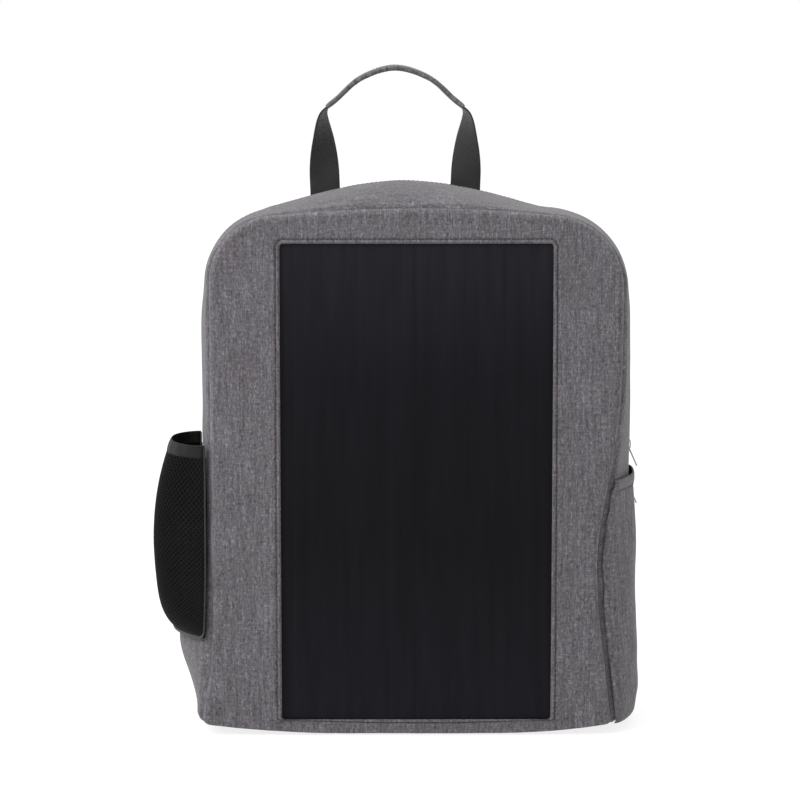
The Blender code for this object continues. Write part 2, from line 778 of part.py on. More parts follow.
STRAP_ROUTE = (
    (0.048, 0.0738, 0.4036),
    (0.048, 0.0850, 0.4032),
    (0.052, 0.0955, 0.3930),
    (0.058, 0.1015, 0.3650),
    (0.070, 0.1040, 0.3100),
    (0.080, 0.1040, 0.2500),
    (0.086, 0.1025, 0.1900),
    (0.0895, 0.0990, 0.1400),
    (0.0905, 0.0965, 0.1180),
)
STRAP_STEPS = 18
LINER_START = 6
BUCKLE_PLACE = (0.0905, 0.0960, 0.108)  # the middle of the buckle's top edge
BUCKLE_HALF_THICK = 0.0020
BUCKLE_HALF_WIDTH = 0.0170
SLOT_HALF_WIDTH = 0.0133
SLOTS = ((0.003, 0.007), (0.0105, 0.0155), (0.019, 0.024))
BUCKLE_LENGTH = 0.028
LOOP_PATH = (
    (-8.2, 1.3), (-4.0, 2.8), (1.5, 3.15), (4.6, 2.6), (5.6, 0.0),
    (4.6, -2.6), (1.5, -3.15), (-4.0, -2.8), (-8.2, -1.3),
)  # (down, outwards) from the buckle's top edge, in millimetres
TAIL_PATH = (
    (34.0, -5.4), (24.0, -5.4), (19.0, -4.7), (14.6, -3.0), (13.0, 0.0), (14.2, 2.9),
    (17.2, 3.2), (20.2, 2.9), (21.6, 0.0), (22.6, -2.6), (26.5, -3.2), (31.0, -2.4),
    (38.0, 1.0), (52.0, 3.5), (72.0, 5.0), (94.0, 4.5),
)
LOWER_ROUTE = (
    (0.0905, 0.0906, 0.0730),
    (0.0915, 0.0925, 0.0610),
    (0.0975, 0.0925, 0.0495),
    (0.1120, 0.0880, 0.0420),
    (0.1290, 0.0800, 0.0375),
    (0.1470, 0.0752, 0.0345),
)


def strap_half_width(i):
    """The pad is widest over the shoulder and narrows towards its buckle."""
    share = i / STRAP_STEPS
    wide = 0.031 - 0.004 * (1 - share) ** 3
    return wide - 0.012 * max(0.0, (share - 0.72) / 0.28) ** 1.5


def to_side(rings, sign):
    return [[Vector((sign * p.x, p.y, p.z)) for p in ring] for ring in rings]


def widthways(_):
    return Vector((1, 0, 0))


def make_strap(side, sign, pivot, hinge):
    route = smooth_path([Vector(point) for point in STRAP_ROUTE], STRAP_STEPS)
    pad = band_rings(route, widthways, strap_half_width, STRAP_FOAM / 2, 0.003)
    loft("strap_pad_" + side, "melange_cloth", to_side(pad, sign), pivot)
    first = LINER_START
    liner = band_rings(
        route[first:],
        widthways,
        lambda i: strap_half_width(i + first) - 0.004,
        STRAP_LINER / 2,
        offset=-(STRAP_FOAM + STRAP_LINER) / 2 - GAP,
    )
    loft("strap_liner_" + side, "black_mesh", to_side(liner, sign), pivot)

    x, y, z = BUCKLE_PLACE
    place = Vector((sign * x, y, z))
    size = Vector((BUCKLE_HALF_WIDTH, BUCKLE_HALF_THICK, 0))
    low = place - size - Vector((0, 0, BUCKLE_LENGTH))
    buckle = block("ladder_lock_" + side, "black_plastic", low, place + size, pivot)
    for top, foot in SLOTS:
        combine(
            buckle,
            "DIFFERENCE",
            place - Vector((SLOT_HALF_WIDTH, 0.01, foot)),
            place + Vector((SLOT_HALF_WIDTH, 0.01, -top)),
        )

    def webbing(name, path, steps):
        points = [Vector((x, y + out / 1000, z - down / 1000)) for down, out in path]
        rings = band_rings(smooth_path(points, steps), widthways, WEBBING / 2, WEBBING_THICK / 2)
        loft(name, "black_webbing", to_side(rings, sign), pivot)

    webbing("strap_loop_" + side, LOOP_PATH, 16)
    webbing("strap_tail_" + side, TAIL_PATH, 30)

    lower = smooth_path([Vector(point) for point in LOWER_ROUTE], 12)

    def level(i):
        along = (lower[min(i + 1, len(lower) - 1)] - lower[max(i - 1, 0)]).normalized()
        return along.cross(Vector((0, 1, 0)))

    rings = band_rings(lower, level, WEBBING / 2, WEBBING_THICK / 2)
    loft("lower_webbing_" + side, "black_webbing", to_side(rings, sign), hinge)


# The handle.

HANDLE_LEG = (
    (-0.0585, 0.4308),
    (-0.0592, 0.4500),
    (-0.0598, 0.4730),
    (-0.0603, 0.4925),
    (-0.0570, 0.5010),
    (-0.0480, 0.5075),
    (-0.0280, 0.5243),
    (0.0, 0.5343),
)  # (x from the handle's middle, z), from the left base to the top of the arch
HANDLE_STEPS = 72
GRIP_STEPS = (21, 51)
TWIST_LANES = 6  # keeps the twisted webbing's faces close to flat


def make_handle(pivot):
    left = [Vector((HANDLE_X + x, HANDLE_HINGE.y, z)) for x, z in HANDLE_LEG]
    right = [Vector((2 * HANDLE_X - p.x, p.y, p.z)) for p in reversed(left[:-1])]
    path = smooth_path(left + right, HANDLE_STEPS)

    def across(i):
        """Along the bag's width at the seams, turned a quarter towards its depth in the grip."""
        share = min(i, HANDLE_STEPS - i) / GRIP_STEPS[0]
        turn = math.pi / 2 * min(1.0, max(0.0, (share - 0.15) / 0.85))
        side = 1 if i <= HANDLE_STEPS / 2 else -1
        return Vector((side * math.cos(turn), math.sin(turn), 0))

    rings = band_rings(path, across, WEBBING / 2, WEBBING_THICK / 2, lanes=TWIST_LANES)
    loft("handle_webbing", "black_webbing", rings, pivot)

    first, last = GRIP_STEPS
    grip_path = path[first : last + 1]

    def wall(half_width, half_thick, corner):
        return band_rings(grip_path, lambda i: across(i + first), half_width, half_thick, corner)

    outer = wall(0.0155, 0.0029, 0.0015)
    inner = wall(0.0131, 0.0012, 0.0004)
    bm = bmesh.new()
    skins = [[[bm.verts.new(p) for p in ring] for ring in rings] for rings in (outer, inner)]
    count = len(outer[0])
    for rings in skins:
        for low, high in zip(rings, rings[1:]):
            for k in range(count):
                after = (k + 1) % count
                bm.faces.new((low[k], low[after], high[after], high[k]))
    for end in (0, -1):
        for k in range(count):
            after = (k + 1) % count
            out, inside = skins[0][end], skins[1][end]
            bm.faces.new((out[k], inside[k], inside[after], out[after]))
    bmesh.ops.recalc_face_normals(bm, faces=bm.faces)
    add_object("handle_grip", mesh_from(bm, "handle_grip"), "melange_cloth", pivot)


def main():
    for obj in list(bpy.data.objects):
        bpy.data.objects.remove(obj)

    make_front_face()
    laminate_back = make_laminate()
    make_front_lining(laminate_back)
    make_shell()
    make_zip_half("front", -1)
    for name, height in SLIDER_HEIGHTS.items():
        make_slider(name, height)
    make_mesh_pocket()
    make_side_pocket()
    make_electrics(laminate_back)

    hinge = joint_at("back_hinge", BACK_HINGE)
    make_back_shell(hinge)
    for side, sign in (("left", -1), ("right", 1)):
        top = Vector((sign * STRAP_ROUTE[0][0], STRAP_HINGE_Y, STRAP_HINGE_Z))
        make_strap(side, sign, joint_at("strap_pivot_" + side, top, hinge), hinge)
    make_handle(joint_at("handle_pivot", HANDLE_HINGE, hinge))


main()
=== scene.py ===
"""The looks of a daypack with a solar front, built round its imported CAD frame. All lengths are in metres."""

import json
import math

import bmesh
import bpy
import numpy as np
from mathutils import Matrix, Vector, noise

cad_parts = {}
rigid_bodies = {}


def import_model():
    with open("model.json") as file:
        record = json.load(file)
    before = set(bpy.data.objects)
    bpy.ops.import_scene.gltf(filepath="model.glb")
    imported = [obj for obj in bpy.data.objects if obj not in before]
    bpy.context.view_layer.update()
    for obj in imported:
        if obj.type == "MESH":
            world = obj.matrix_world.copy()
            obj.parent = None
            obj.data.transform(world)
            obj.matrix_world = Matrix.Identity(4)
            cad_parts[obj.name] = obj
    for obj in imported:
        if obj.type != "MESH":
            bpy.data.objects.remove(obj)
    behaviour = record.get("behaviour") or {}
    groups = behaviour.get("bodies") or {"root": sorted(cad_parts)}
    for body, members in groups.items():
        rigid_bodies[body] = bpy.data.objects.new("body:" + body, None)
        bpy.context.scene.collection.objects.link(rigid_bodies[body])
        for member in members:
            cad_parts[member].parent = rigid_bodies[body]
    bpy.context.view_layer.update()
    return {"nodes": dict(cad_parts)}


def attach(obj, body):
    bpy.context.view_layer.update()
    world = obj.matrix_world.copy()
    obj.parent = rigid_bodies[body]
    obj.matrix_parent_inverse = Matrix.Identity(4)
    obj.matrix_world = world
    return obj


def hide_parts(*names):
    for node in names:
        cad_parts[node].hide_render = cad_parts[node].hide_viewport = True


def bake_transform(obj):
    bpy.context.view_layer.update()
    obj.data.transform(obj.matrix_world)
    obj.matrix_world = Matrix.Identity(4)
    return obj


for startup in list(bpy.data.objects):
    bpy.data.objects.remove(startup)
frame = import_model()
NODES = frame["nodes"]

# The CAD's driving dimensions, repeated here because a scene can't read part.py. BASE_RADIUS, CROWN_REACH,
# LEFT_PUFF, TAPER_FROM, SIDE_LOW, SIDE_DEPTHS and REAR_SLUMP are set a little apart from the CAD's for the looks,
# and the left flare is only in them.
HALF_WIDTH, HEIGHT, HALF_DEPTH = 0.167, 0.430, 0.068
TOP_RADII = (0.055, 0.060)
BASE_RADIUS, TOP_ARCH, BASE_FLAT, BASE_LIFT = 0.0055, 0.006, 0.060, 0.008
CROWN_PUFF, CROWN_PEAK, CROWN_REACH = 0.0155, -0.012, 0.101
LEFT_PUFF, RIGHT_PUFF, FRONT_PUFF, TAPER_FROM = 0.0080, 0.0085, 0.008, 0.315
LOW_PUFF, LOW_PUFF_Z, LOW_PUFF_REACH = 0.0205, 0.070, 0.046
DENT, DENT_Z, DENT_REACH, DENT_DEPTH = 0.019, 0.140, (0.120, 0.085), 0.053
CLOTH, GAP = 0.0016, 0.0003
WINDOW_HALF, WINDOW_LOW, WINDOW_HIGH, WINDOW_RADIUS = 0.109, 0.013, 0.401, 0.003
FACING_WIDTH = 0.007
ZIP_Y, GUSSET_EDGE, ZIP_FOOT = 0.024, 0.0095, 0.022
SLIDER_HEIGHTS = {"upper": 0.2245, "lower": 0.1930}
PULL_LENGTH, PULL_TILT = 0.018, math.radians(24)
POCKET_BACK, POCKET_FRONT = 0.012, -0.0655
MESH_LOW, MESH_HIGH, MESH_DEEPEST, BAND_HEIGHT = 0.080, 0.228, 0.160, 0.0095
SIDE_LOW, SIDE_HIGH, HEM_HEIGHT, SIDE_DEPTHS = 0.0085, 0.199, 0.010, (0.0085, 0.0012)
BACK_FACE = HALF_DEPTH + GAP + CLOTH
SEWN_FACE = BACK_FACE + GAP  # where the pieces sewn to the back start
WEBBING, WEBBING_THICK = 0.025, 0.0015
HANDLE_X, HANDLE_Y = -0.0165, 0.069
REAR_SLUMP = 0.0080
LEFT_FLARE, LEFT_FLARE_REACH = 0.0090, 0.045
FRONT_SEAM = 0.0030  # the gusset starts this far behind the front's own edge
FILM_LAP = 0.005  # the laminate reaches this far under the window's edge
POCKET_CLOTH = 0.0775  # the slip pocket's width when flat
PAD_X, CHANNEL_DEPTH, CHANNEL_WIDTH = 0.078, 0.0040, 0.0030
HANDLE_HALF = 0.0585
MESH_DEPTH = 0.038

FINE_LOOP = (34, 6, 86, 26, 44)  # base half, base corner, side, top corner, top half
LOOP = 2 * sum(FINE_LOOP)
RIM_START = FINE_LOOP[0] + FINE_LOOP[1]


# Materials.


class Shader:
    """A Principled material, and short ways to add nodes to it."""

    def __init__(self, name, **settings):
        self.material = bpy.data.materials.new(name)
        self.material.use_nodes = True
        self.tree = self.material.node_tree
        self.principled = self.tree.nodes["Principled BSDF"]
        for key, value in settings.items():
            self.principled.inputs[key.replace("_", " ").title().replace("Ior", "IOR")].default_value = value

    def add(self, kind, inputs=None, **settings):
        node = self.tree.nodes.new("ShaderNode" + kind)
        for key, value in settings.items():
            setattr(node, key, value)
        for key, value in (inputs or {}).items():
            if isinstance(value, bpy.types.NodeSocket):
                self.tree.links.new(value, node.inputs[key])
            else:
                node.inputs[key].default_value = value
        return node

    def math(self, operation, *values):
        return self.add("Math", dict(enumerate(values)), operation=operation).outputs[0]

    def place(self, weave):
        """(across, along, 0) on a woven piece, which stores it, or the object's own coordinates."""
        if weave:
            return self.add("Attribute", attribute_name="weave").outputs["Vector"]
        return self.add("TexCoord").outputs["Object"]

    def parts(self, vector):
        return self.add("SeparateXYZ", {"Vector": vector}).outputs

    def flat(self, across, along):
        return self.add("CombineXYZ", {"X": across, "Y": along}).outputs[0]

    def draped(self):
        """Object coordinates laid flat, for cloth that is seen from the front and from the side."""
        parts = self.parts(self.place(False))
        return self.flat(self.math("MULTIPLY_ADD", parts[1], 0.8, parts[0]), parts[2])

    def wave(self, value, pitch):
        return self.math("SINE", self.math("MULTIPLY", value, 2 * math.pi / pitch))

    def scaled(self, vector, scale):
        return self.add("Mapping", {"Vector": vector, "Scale": scale}).outputs[0]

    def noise(self, vector, scale, detail=2.0, roughness=0.5):
        found = self.add(
            "TexNoise",
            {"Vector": self.scaled(vector, scale), "Scale": 1.0, "Detail": detail, "Roughness": roughness},
        )
        return found.outputs["Fac"]

    def ramp(self, value, stops, interpolation="LINEAR"):
        node = self.add("ValToRGB", {"Fac": value})
        node.color_ramp.interpolation = interpolation
        elements = node.color_ramp.elements
        while len(elements) < len(stops):
            elements.new(0.5)
        for element, (position, colour) in zip(elements, stops):
            element.position = position
            element.color = (*colour, 1) if hasattr(colour, "__len__") else (colour,) * 3 + (1,)
        return node.outputs["Color"]

    def mix(self, share, first, second, blend="MIX"):
        node = self.add("Mix", data_type="RGBA", blend_type=blend)
        for key, value in ((0, share), (6, first), (7, second)):
            if isinstance(value, bpy.types.NodeSocket):
                self.tree.links.new(value, node.inputs[key])
            else:
                node.inputs[key].default_value = value if key == 0 else (*value, 1)
        return node.outputs[2]

    def colour(self, value):
        self.tree.links.new(value, self.principled.inputs["Base Color"])

    def roughness(self, value, low, high):
        node = self.add("MapRange", {"Value": value, "To Min": low, "To Max": high})
        self.tree.links.new(node.outputs[0], self.principled.inputs["Roughness"])

    def bump(self, *layers):
        """Each layer is (height, strength, distance)."""
        normal = None
        for height, strength, distance in layers:
            node = self.add("Bump", {"Height": height, "Strength": strength, "Distance": distance})
            if normal:
                self.tree.links.new(normal, node.inputs["Normal"])
            normal = node.outputs[0]
        self.tree.links.new(normal, self.principled.inputs["Normal"])


def times(colour, factor):
    return tuple(factor * c for c in colour)


def plain_weave(s, place, pitch):
    """The height of yarns that pass over and under each other."""
    parts = s.parts(place)
    over = s.math("MULTIPLY", s.wave(parts[0], pitch), s.wave(parts[1], pitch))
    return s.math("MULTIPLY_ADD", over, 0.5, 0.5)


def melange(name, weave=True, tone=1.0):
    """Two greys of yarn spun together, with slubs that run along the cloth."""
    s = Shader(name, roughness=0.9, sheen_weight=0.12, sheen_roughness=0.5, specular_ior_level=0.25)
    place = s.place(True) if weave else s.draped()
    fine = s.noise(place, (1000, 190, 1), 3.0, 0.65)
    slub = s.noise(place, (430, 34, 1), 2.0, 0.5)
    weft = s.noise(place, (110, 1000, 1), 2.0, 0.6)
    speck = s.noise(place, (620, 420, 1), 2.0, 0.6)
    blotch = s.noise(place, (26, 14, 1), 2.0, 0.5)
    value = s.math("MULTIPLY_ADD", fine, 0.34, s.math("MULTIPLY", slub, 0.20))
    value = s.math("MULTIPLY_ADD", weft, 0.18, value)
    value = s.math("MULTIPLY_ADD", speck, 0.28, value)
    yarn = s.ramp(
        value,
        (
            (0.34, times((0.022, 0.0208, 0.0235), tone)),
            (0.44, times((0.082, 0.0772, 0.085), tone)),
            (0.54, times((0.152, 0.144, 0.155), tone)),
            (0.66, times((0.310, 0.299, 0.315), tone)),
        ),
    )
    tint = s.ramp(blotch, ((0.30, (0.93, 0.900, 0.925)), (0.72, (1.07, 1.055, 1.085))))
    s.colour(s.mix(1.0, yarn, tint, "MULTIPLY"))
    s.roughness(value, 0.98, 0.78)
    s.bump((fine, 0.25, 0.0004), (plain_weave(s, place, 0.0011), 0.30, 0.0002))
    return s.material


def webbing_cloth(name, tone=1.0, pitch=0.0014, weave=True, sheen=0.25, specular=0.35):
    s = Shader(name, roughness=0.7, sheen_weight=sheen, sheen_roughness=0.4, specular_ior_level=specular)
    place = s.place(weave)
    parts = s.parts(place)
    lanes = s.wave(parts[0], 2.2 * pitch)
    shift = s.math("MULTIPLY", s.math("SIGN", lanes), math.pi / 2)
    picks = s.math("SINE", s.math("MULTIPLY_ADD", parts[1], 2 * math.pi / pitch, shift))
    height = s.math("MULTIPLY_ADD", picks, s.math("ABSOLUTE", lanes), 0.5)
    fuzz = s.noise(place, (900, 900, 900), 2.0)
    value = s.math("MULTIPLY_ADD", fuzz, 0.7, s.math("MULTIPLY", height, 0.35))
    s.colour(s.ramp(value, ((0.2, 0.0085 * tone), (0.85, times((0.030, 0.030, 0.032), tone)))))
    s.roughness(fuzz, 0.6, 0.85)
    s.bump((height, 0.55, 0.0004), (fuzz, 0.15, 0.0002))
    return s.material


def lining_cloth(name):
    s = Shader(name, roughness=0.75, sheen_weight=0.1, specular_ior_level=0.3)
    flat = s.draped()
    thread = s.noise(flat, (1400, 300, 1), 2.0)
    crease = s.noise(s.place(False), (18, 18, 18), 3.0)
    s.colour(s.ramp(thread, ((0.3, (0.014, 0.014, 0.016)), (0.7, (0.034, 0.034, 0.038)))))
    s.roughness(crease, 0.6, 0.85)
    s.bump((crease, 0.3, 0.003), (plain_weave(s, flat, 0.0006), 0.25, 0.0001))
    return s.material


def spacer_mesh(name):
    """Knitted spacer fabric: rows of small round holes in a black face."""
    s = Shader(name, roughness=0.85, sheen_weight=0.2, specular_ior_level=0.25)
    place = s.place(False)
    parts = s.parts(place)
    flat = s.flat(parts[0], parts[2])
    holes = s.add(
        "TexVoronoi",
        {"Vector": s.scaled(flat, (330, 250, 1)), "Scale": 1.0, "Randomness": 0.12},
        voronoi_dimensions="2D",
    ).outputs["Distance"]
    fuzz = s.noise(place, (1200, 1200, 1200), 2.0)
    shade = s.ramp(holes, ((0.12, 0.002), (0.30, (0.017, 0.017, 0.018)), (0.6, (0.03, 0.03, 0.032))))
    s.colour(s.mix(0.35, shade, s.ramp(fuzz, ((0.3, 0.010), (0.7, 0.035)))))
    s.roughness(fuzz, 0.75, 0.95)
    s.bump((s.ramp(holes, ((0.12, 0.0), (0.35, 1.0))), 0.8, 0.0008), (fuzz, 0.2, 0.0002))
    return s.material


def solar_film(name):
    """A satin film over black cells: two columns, with the faintest lines between their strips, and painted light
    that makes it lighter at its top and foot than in its middle.
    """
    s = Shader(name, specular_ior_level=0.04, coat_weight=0.02, coat_roughness=0.22)
    place = s.place(False)
    parts = s.parts(place)
    across = s.math("MULTIPLY_ADD", parts[0], 1 / (2 * WINDOW_HALF), 0.5)
    cell, edge, line = (0.0072, 0.0070, 0.0094), (0.0054, 0.0053, 0.0070), (0.0100, 0.0098, 0.0126)
    stops = [(0.0, edge), (0.018, cell)]
    for start, width, colour in (
        (0.050, 0.0022, line),
        (0.402, 0.0022, line),
        (0.482, 0.0165, edge),
        (0.556, 0.0020, line),
        (0.880, 0.0022, line),
    ):
        stops += [(start, colour), (start + width, cell)]
    stops.append((0.984, edge))
    strips = s.ramp(across, stops, "CONSTANT")
    grain = s.noise(place, (140, 140, 9), 3.0, 0.6)
    smudge = s.noise(place, (9, 9, 5), 2.0)
    grey = s.ramp(grain, ((0.3, (0.0058, 0.0056, 0.0075)), (0.7, (0.0105, 0.0102, 0.0132))))
    tall = WINDOW_HIGH - WINDOW_LOW
    height = s.math("MULTIPLY_ADD", parts[2], 1 / tall, -WINDOW_LOW / tall)
    # Painted light: a factor on the film's colour by height, lighter at the top and the foot, darker in the
    # middle.
    painted_light_by_height = s.ramp(height, ((0.0, 1.0), (0.38, 0.62), (0.72, 0.78), (1.0, 1.45)))
    s.colour(s.mix(1.0, s.mix(0.5, strips, grey), painted_light_by_height, "MULTIPLY"))
    s.roughness(smudge, 0.38, 0.50)
    s.bump((s.noise(place, (900, 900, 900), 2.0), 0.06, 0.0002), (smudge, 0.05, 0.002))
    return s.material


def plastic(name, colour=0.012, roughness=0.45, grain=2200, specular=0.45):
    s = Shader(name, specular_ior_level=specular)
    place = s.place(False)
    fine = s.noise(place, (grain, grain, grain), 2.0)
    wear = s.noise(place, (160, 160, 160), 3.0)
    s.colour(s.ramp(wear, ((0.35, colour * 0.8), (0.75, colour * 1.5))))
    s.roughness(wear, roughness - 0.06, roughness + 0.10)
    s.bump((fine, 0.12, 0.0001))
    return s.material


def metal(name, colour=(0.30, 0.295, 0.285)):
    s = Shader(name, metallic=1.0)
    place = s.place(False)
    brushed = s.noise(place, (3000, 3000, 260), 3.0)
    stain = s.noise(place, (210, 210, 210), 3.0)
    s.colour(s.ramp(stain, ((0.3, times(colour, 0.78)), (0.7, times(colour, 1.15)))))
    s.roughness(brushed, 0.20, 0.36)
    s.bump((brushed, 0.06, 0.0001), (stain, 0.05, 0.0003))
    return s.material


def elastic(name):
    """Ribbed elastic: fine cords along its length, crossed by the knit's short ticks."""
    s = Shader(name, roughness=0.75, sheen_weight=0.06, specular_ior_level=0.15)
    parts = s.parts(s.place(True))
    cords = s.wave(parts[1], 0.0015)
    ticks = s.wave(parts[0], 0.0011)
    height = s.math("MULTIPLY_ADD", cords, 0.7, s.math("MULTIPLY", ticks, 0.3))
    s.colour(s.ramp(s.math("MULTIPLY_ADD", height, 0.5, 0.5), ((0.1, 0.004), (0.9, (0.014, 0.014, 0.015)))))
    s.bump((height, 0.5, 0.0004))
    return s.material


def thread(name, colour):
    s = Shader(name, roughness=0.6, sheen_weight=0.2)
    place = s.place(False)
    twist = s.noise(place, (1700, 1700, 1700), 2.0)
    s.colour(s.ramp(twist, ((0.3, times(colour, 0.6)), (0.7, times(colour, 1.5)))))
    s.bump((twist, 0.4, 0.0002))
    return s.material


MELANGE = melange("melange_cloth", tone=0.72)
MELANGE_OBJECT = melange("melange_cloth_sewn", weave=False, tone=0.72)
WEBBING_CLOTH = webbing_cloth("black_webbing")
TAPE_CLOTH = webbing_cloth("zip_tape", 0.8, 0.0009)
BINDING = webbing_cloth("binding_tape", 0.9, 0.0008)
LINING = lining_cloth("lining_cloth")
SPACER = spacer_mesh("spacer_mesh")
FILM = solar_film("solar_film")
PLASTIC = plastic("black_plastic")
COIL = plastic("zip_coil", 0.014, 0.40)
JACKET = plastic("lead_jacket", 0.010, 0.55)
BACKSHEET = plastic("laminate_back", 0.55, 0.55)
CELLS = plastic("solar_cell", 0.008, 0.30)
NICKEL = metal("nickel")
ELASTIC = elastic("elastic_band")
NET_BACKING = plastic("net_backing", 0.0030, 0.8, 900, specular=0.08)
NET = webbing_cloth("net_yarn", 0.45, 0.0007, weave=False, sheen=0.04, specular=0.12)
# Dark colour for the tube in the front seam's groove: painted shade.
SEAM_SHADE = thread("seam_painted_shade", (0.014, 0.013, 0.015))
DARK_THREAD = thread("dark_thread", (0.016, 0.015, 0.016))
GREY_THREAD = thread("grey_thread", (0.075, 0.070, 0.078))
BLACK_THREAD = thread("black_thread", (0.012, 0.012, 0.012))


# Meshes.


def add_piece(name, mesh, materials, body=None, replaces=(), slot=None):
    mesh.shade_smooth()
    obj = bpy.data.objects.new(name, mesh)
    bpy.context.scene.collection.objects.link(obj)
    for material in materials if isinstance(materials, (list, tuple)) else [materials]:
        mesh.materials.append(material)
    if body:
        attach(obj, body)
    if replaces:
        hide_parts(*([replaces] if isinstance(replaces, str) else replaces))
    return obj


def run_of(path):
    """How far each point of a path is from its start."""
    steps = np.linalg.norm(np.diff(path, axis=0), axis=1)
    return np.concatenate([[0], np.cumsum(steps)])


def lengths(points, axis):
    """How far each point of a grid is along one of its directions, taken at the grid's middle."""
    return run_of(np.take(points, points.shape[1 - axis] // 2, axis=1 - axis))


def read_at(where, run, values):
    """The values of a path's points at the given distances along its run."""
    return np.stack([np.interp(where, run, column) for column in values.T], -1)


def pairs(first, second):
    return np.stack(np.broadcast_arrays(first, second), -1)


def closed_up(path):
    return np.vstack([path, path[:1]])


def mesh_from(bm, name, mesh=None):
    """The mesh of finished bmesh work, with its normals facing out."""
    bmesh.ops.recalc_face_normals(bm, faces=bm.faces)
    mesh = mesh or bpy.data.meshes.new(name)
    bm.to_mesh(mesh)
    bm.free()
    return mesh


def fill_middle(mesh, ring):
    """Closes the hole that a grid leaves at its middle. ring is the indices of its vertices."""
    bm = bmesh.new()
    bm.from_mesh(mesh)
    bm.verts.ensure_lookup_table()
    bm.faces.new([bm.verts[k] for k in ring])
    return mesh_from(bm, mesh.name, mesh)


def short_tubes(name, points, sides, flip=False):
    """Many closed tubes in one mesh. points holds every tube's rings of points, one after another."""
    count = points.shape[1]
    starts = np.arange(len(points)) * count
    faces = []
    for ring in range(0, count - sides, sides):
        for k in range(sides):
            after = (k + 1) % sides
            faces.append((ring + k, ring + after, ring + sides + after, ring + sides + k))
    whole = (np.array(faces)[None] + starts[:, None, None]).reshape(-1, 4).tolist()
    for start in starts.tolist():
        whole.append([start + k for k in range(sides - 1, -1, -1)])
        whole.append([start + count - sides + k for k in range(sides)])
    if flip:
        whole = [face[::-1] for face in whole]
    mesh = bpy.data.meshes.new(name)
    mesh.from_pydata(points.reshape(-1, 3).tolist(), [], whole)
    return mesh


def grid_mesh(name, points, closed=False, around=False, weave=None, caps=False):
    """A mesh of a grid of points. closed joins its last column to its first, around its last row."""
    columns, rows = points.shape[:2]
    index = np.arange(columns * rows).reshape(columns, rows)
    if closed:
        index = np.vstack([index, index[:1]])
    if around:
        index = np.hstack([index, index[:, :1]])
    corners = [index[:-1, :-1], index[1:, :-1], index[1:, 1:], index[:-1, 1:]]
    faces = np.stack(corners, -1).reshape(-1, 4).tolist()
    if caps:
        faces += [index[0, :rows].tolist(), index[-1, :rows][::-1].tolist()]
    mesh = bpy.data.meshes.new(name)
    mesh.from_pydata(points.reshape(-1, 3).tolist(), [], faces)
    if weave is None:
        across, along = np.meshgrid(lengths(points, 1), lengths(points, 0))
        weave = np.stack([across, along], -1)
    if weave is not False:
        flat = np.zeros((columns * rows, 3), np.float32)
        flat[:, :2] = weave.reshape(-1, 2)
        mesh.attributes.new("weave", "FLOAT_VECTOR", "POINT").data.foreach_set("vector", flat.ravel())
    return mesh


def thicken(obj, thickness, inner=None, offset=-1.0):
    skin = obj.modifiers.new("Thickness", "SOLIDIFY")
    skin.thickness, skin.offset, skin.use_even_offset = thickness, offset, True
    skin.thickness_clamp = 1.0
    if inner:
        obj.data.materials.append(inner)
        skin.material_offset = 1
    return obj


def soften(obj):
    step = obj.modifiers.new("Smooth", "SUBSURF")
    step.levels = step.render_levels = 1


def bevel_edges(obj, width, segments, angle):
    edge = obj.modifiers.new("Edges", "BEVEL")
    edge.width, edge.segments = width, segments
    edge.limit_method, edge.angle_limit = "ANGLE", math.radians(angle)


def wobble(points, size, seed, stretch=(1, 1, 1)):
    """Smooth noise from -1 to 1 at each point, with features about size across."""
    shape = points.shape[:-1]
    flat = np.asarray(points, float).reshape(-1, points.shape[-1])
    if flat.shape[1] == 2:
        flat = np.hstack([flat, np.zeros((len(flat), 1))])
    flat = flat / size * np.array(stretch) + np.array([seed * 7.31, seed * 3.17, seed * 1.93])
    return np.array([noise.noise(p) for p in flat.tolist()]).reshape(shape)


def spline(points, count):
    """Catmull-Rom through the given points, then spread evenly along its length."""
    p = np.asarray(points, float)
    ends = np.vstack([2 * p[0] - p[1], p, 2 * p[-1] - p[-2]])
    fine = []
    for k in range(len(p) - 1):
        a, b, c, d = ends[k : k + 4]
        t = np.linspace(0, 1, 24, endpoint=False)[:, None]
        square, cube = (2 * a - 5 * b + 4 * c - d) * t**2, (3 * b - a - 3 * c + d) * t**3
        fine.append(0.5 * (2 * b + (c - a) * t + square + cube))
    fine = np.vstack([*fine, p[-1:]])
    return resample(fine, count)


def resample(path, count):
    run = run_of(path)
    return read_at(np.linspace(0, run[-1], count + 1), run, path)


def unit(vectors):
    return vectors / np.maximum(np.linalg.norm(vectors, axis=-1, keepdims=True), 1e-12)


def band_axes(path, across):
    """(across, out) at each point of a path. across is about the width's direction."""
    along = unit(np.gradient(path, axis=0))
    across = np.broadcast_to(np.asarray(across, float), path.shape)
    out = unit(np.cross(across, along))
    return unit(np.cross(along, out)), out


def rounded_section(half_width, half_thick, corner_steps=3):
    """(across, out) offsets round a flat band with round edges."""
    turns = np.linspace(-math.pi / 2, math.pi / 2, 2 * corner_steps + 1)
    flat = half_width - half_thick
    lanes = np.linspace(-flat, flat, 7)[1:-1]
    right = [(flat + half_thick * math.cos(t), half_thick * math.sin(t)) for t in turns]
    left = [(-flat - half_thick * math.cos(t), -half_thick * math.sin(t)) for t in turns]
    top = [(x, half_thick) for x in lanes[::-1]]
    low = [(x, -half_thick) for x in lanes]
    return np.array(right + top + left + low)


def band_points(path, across, half_width, half_thick, offset=0.0):
    """Grid points of a flat band. half_width may differ along the path."""
    side, out = band_axes(path, across)
    widths = np.broadcast_to(np.asarray(half_width, float), (len(path),))
    rings = []
    for point, a, o, width in zip(path, side, out, widths):
        shape = rounded_section(width, half_thick)
        rings.append(point + a * shape[:, :1] + o * (shape[:, 1:] + offset))
    return np.array(rings)


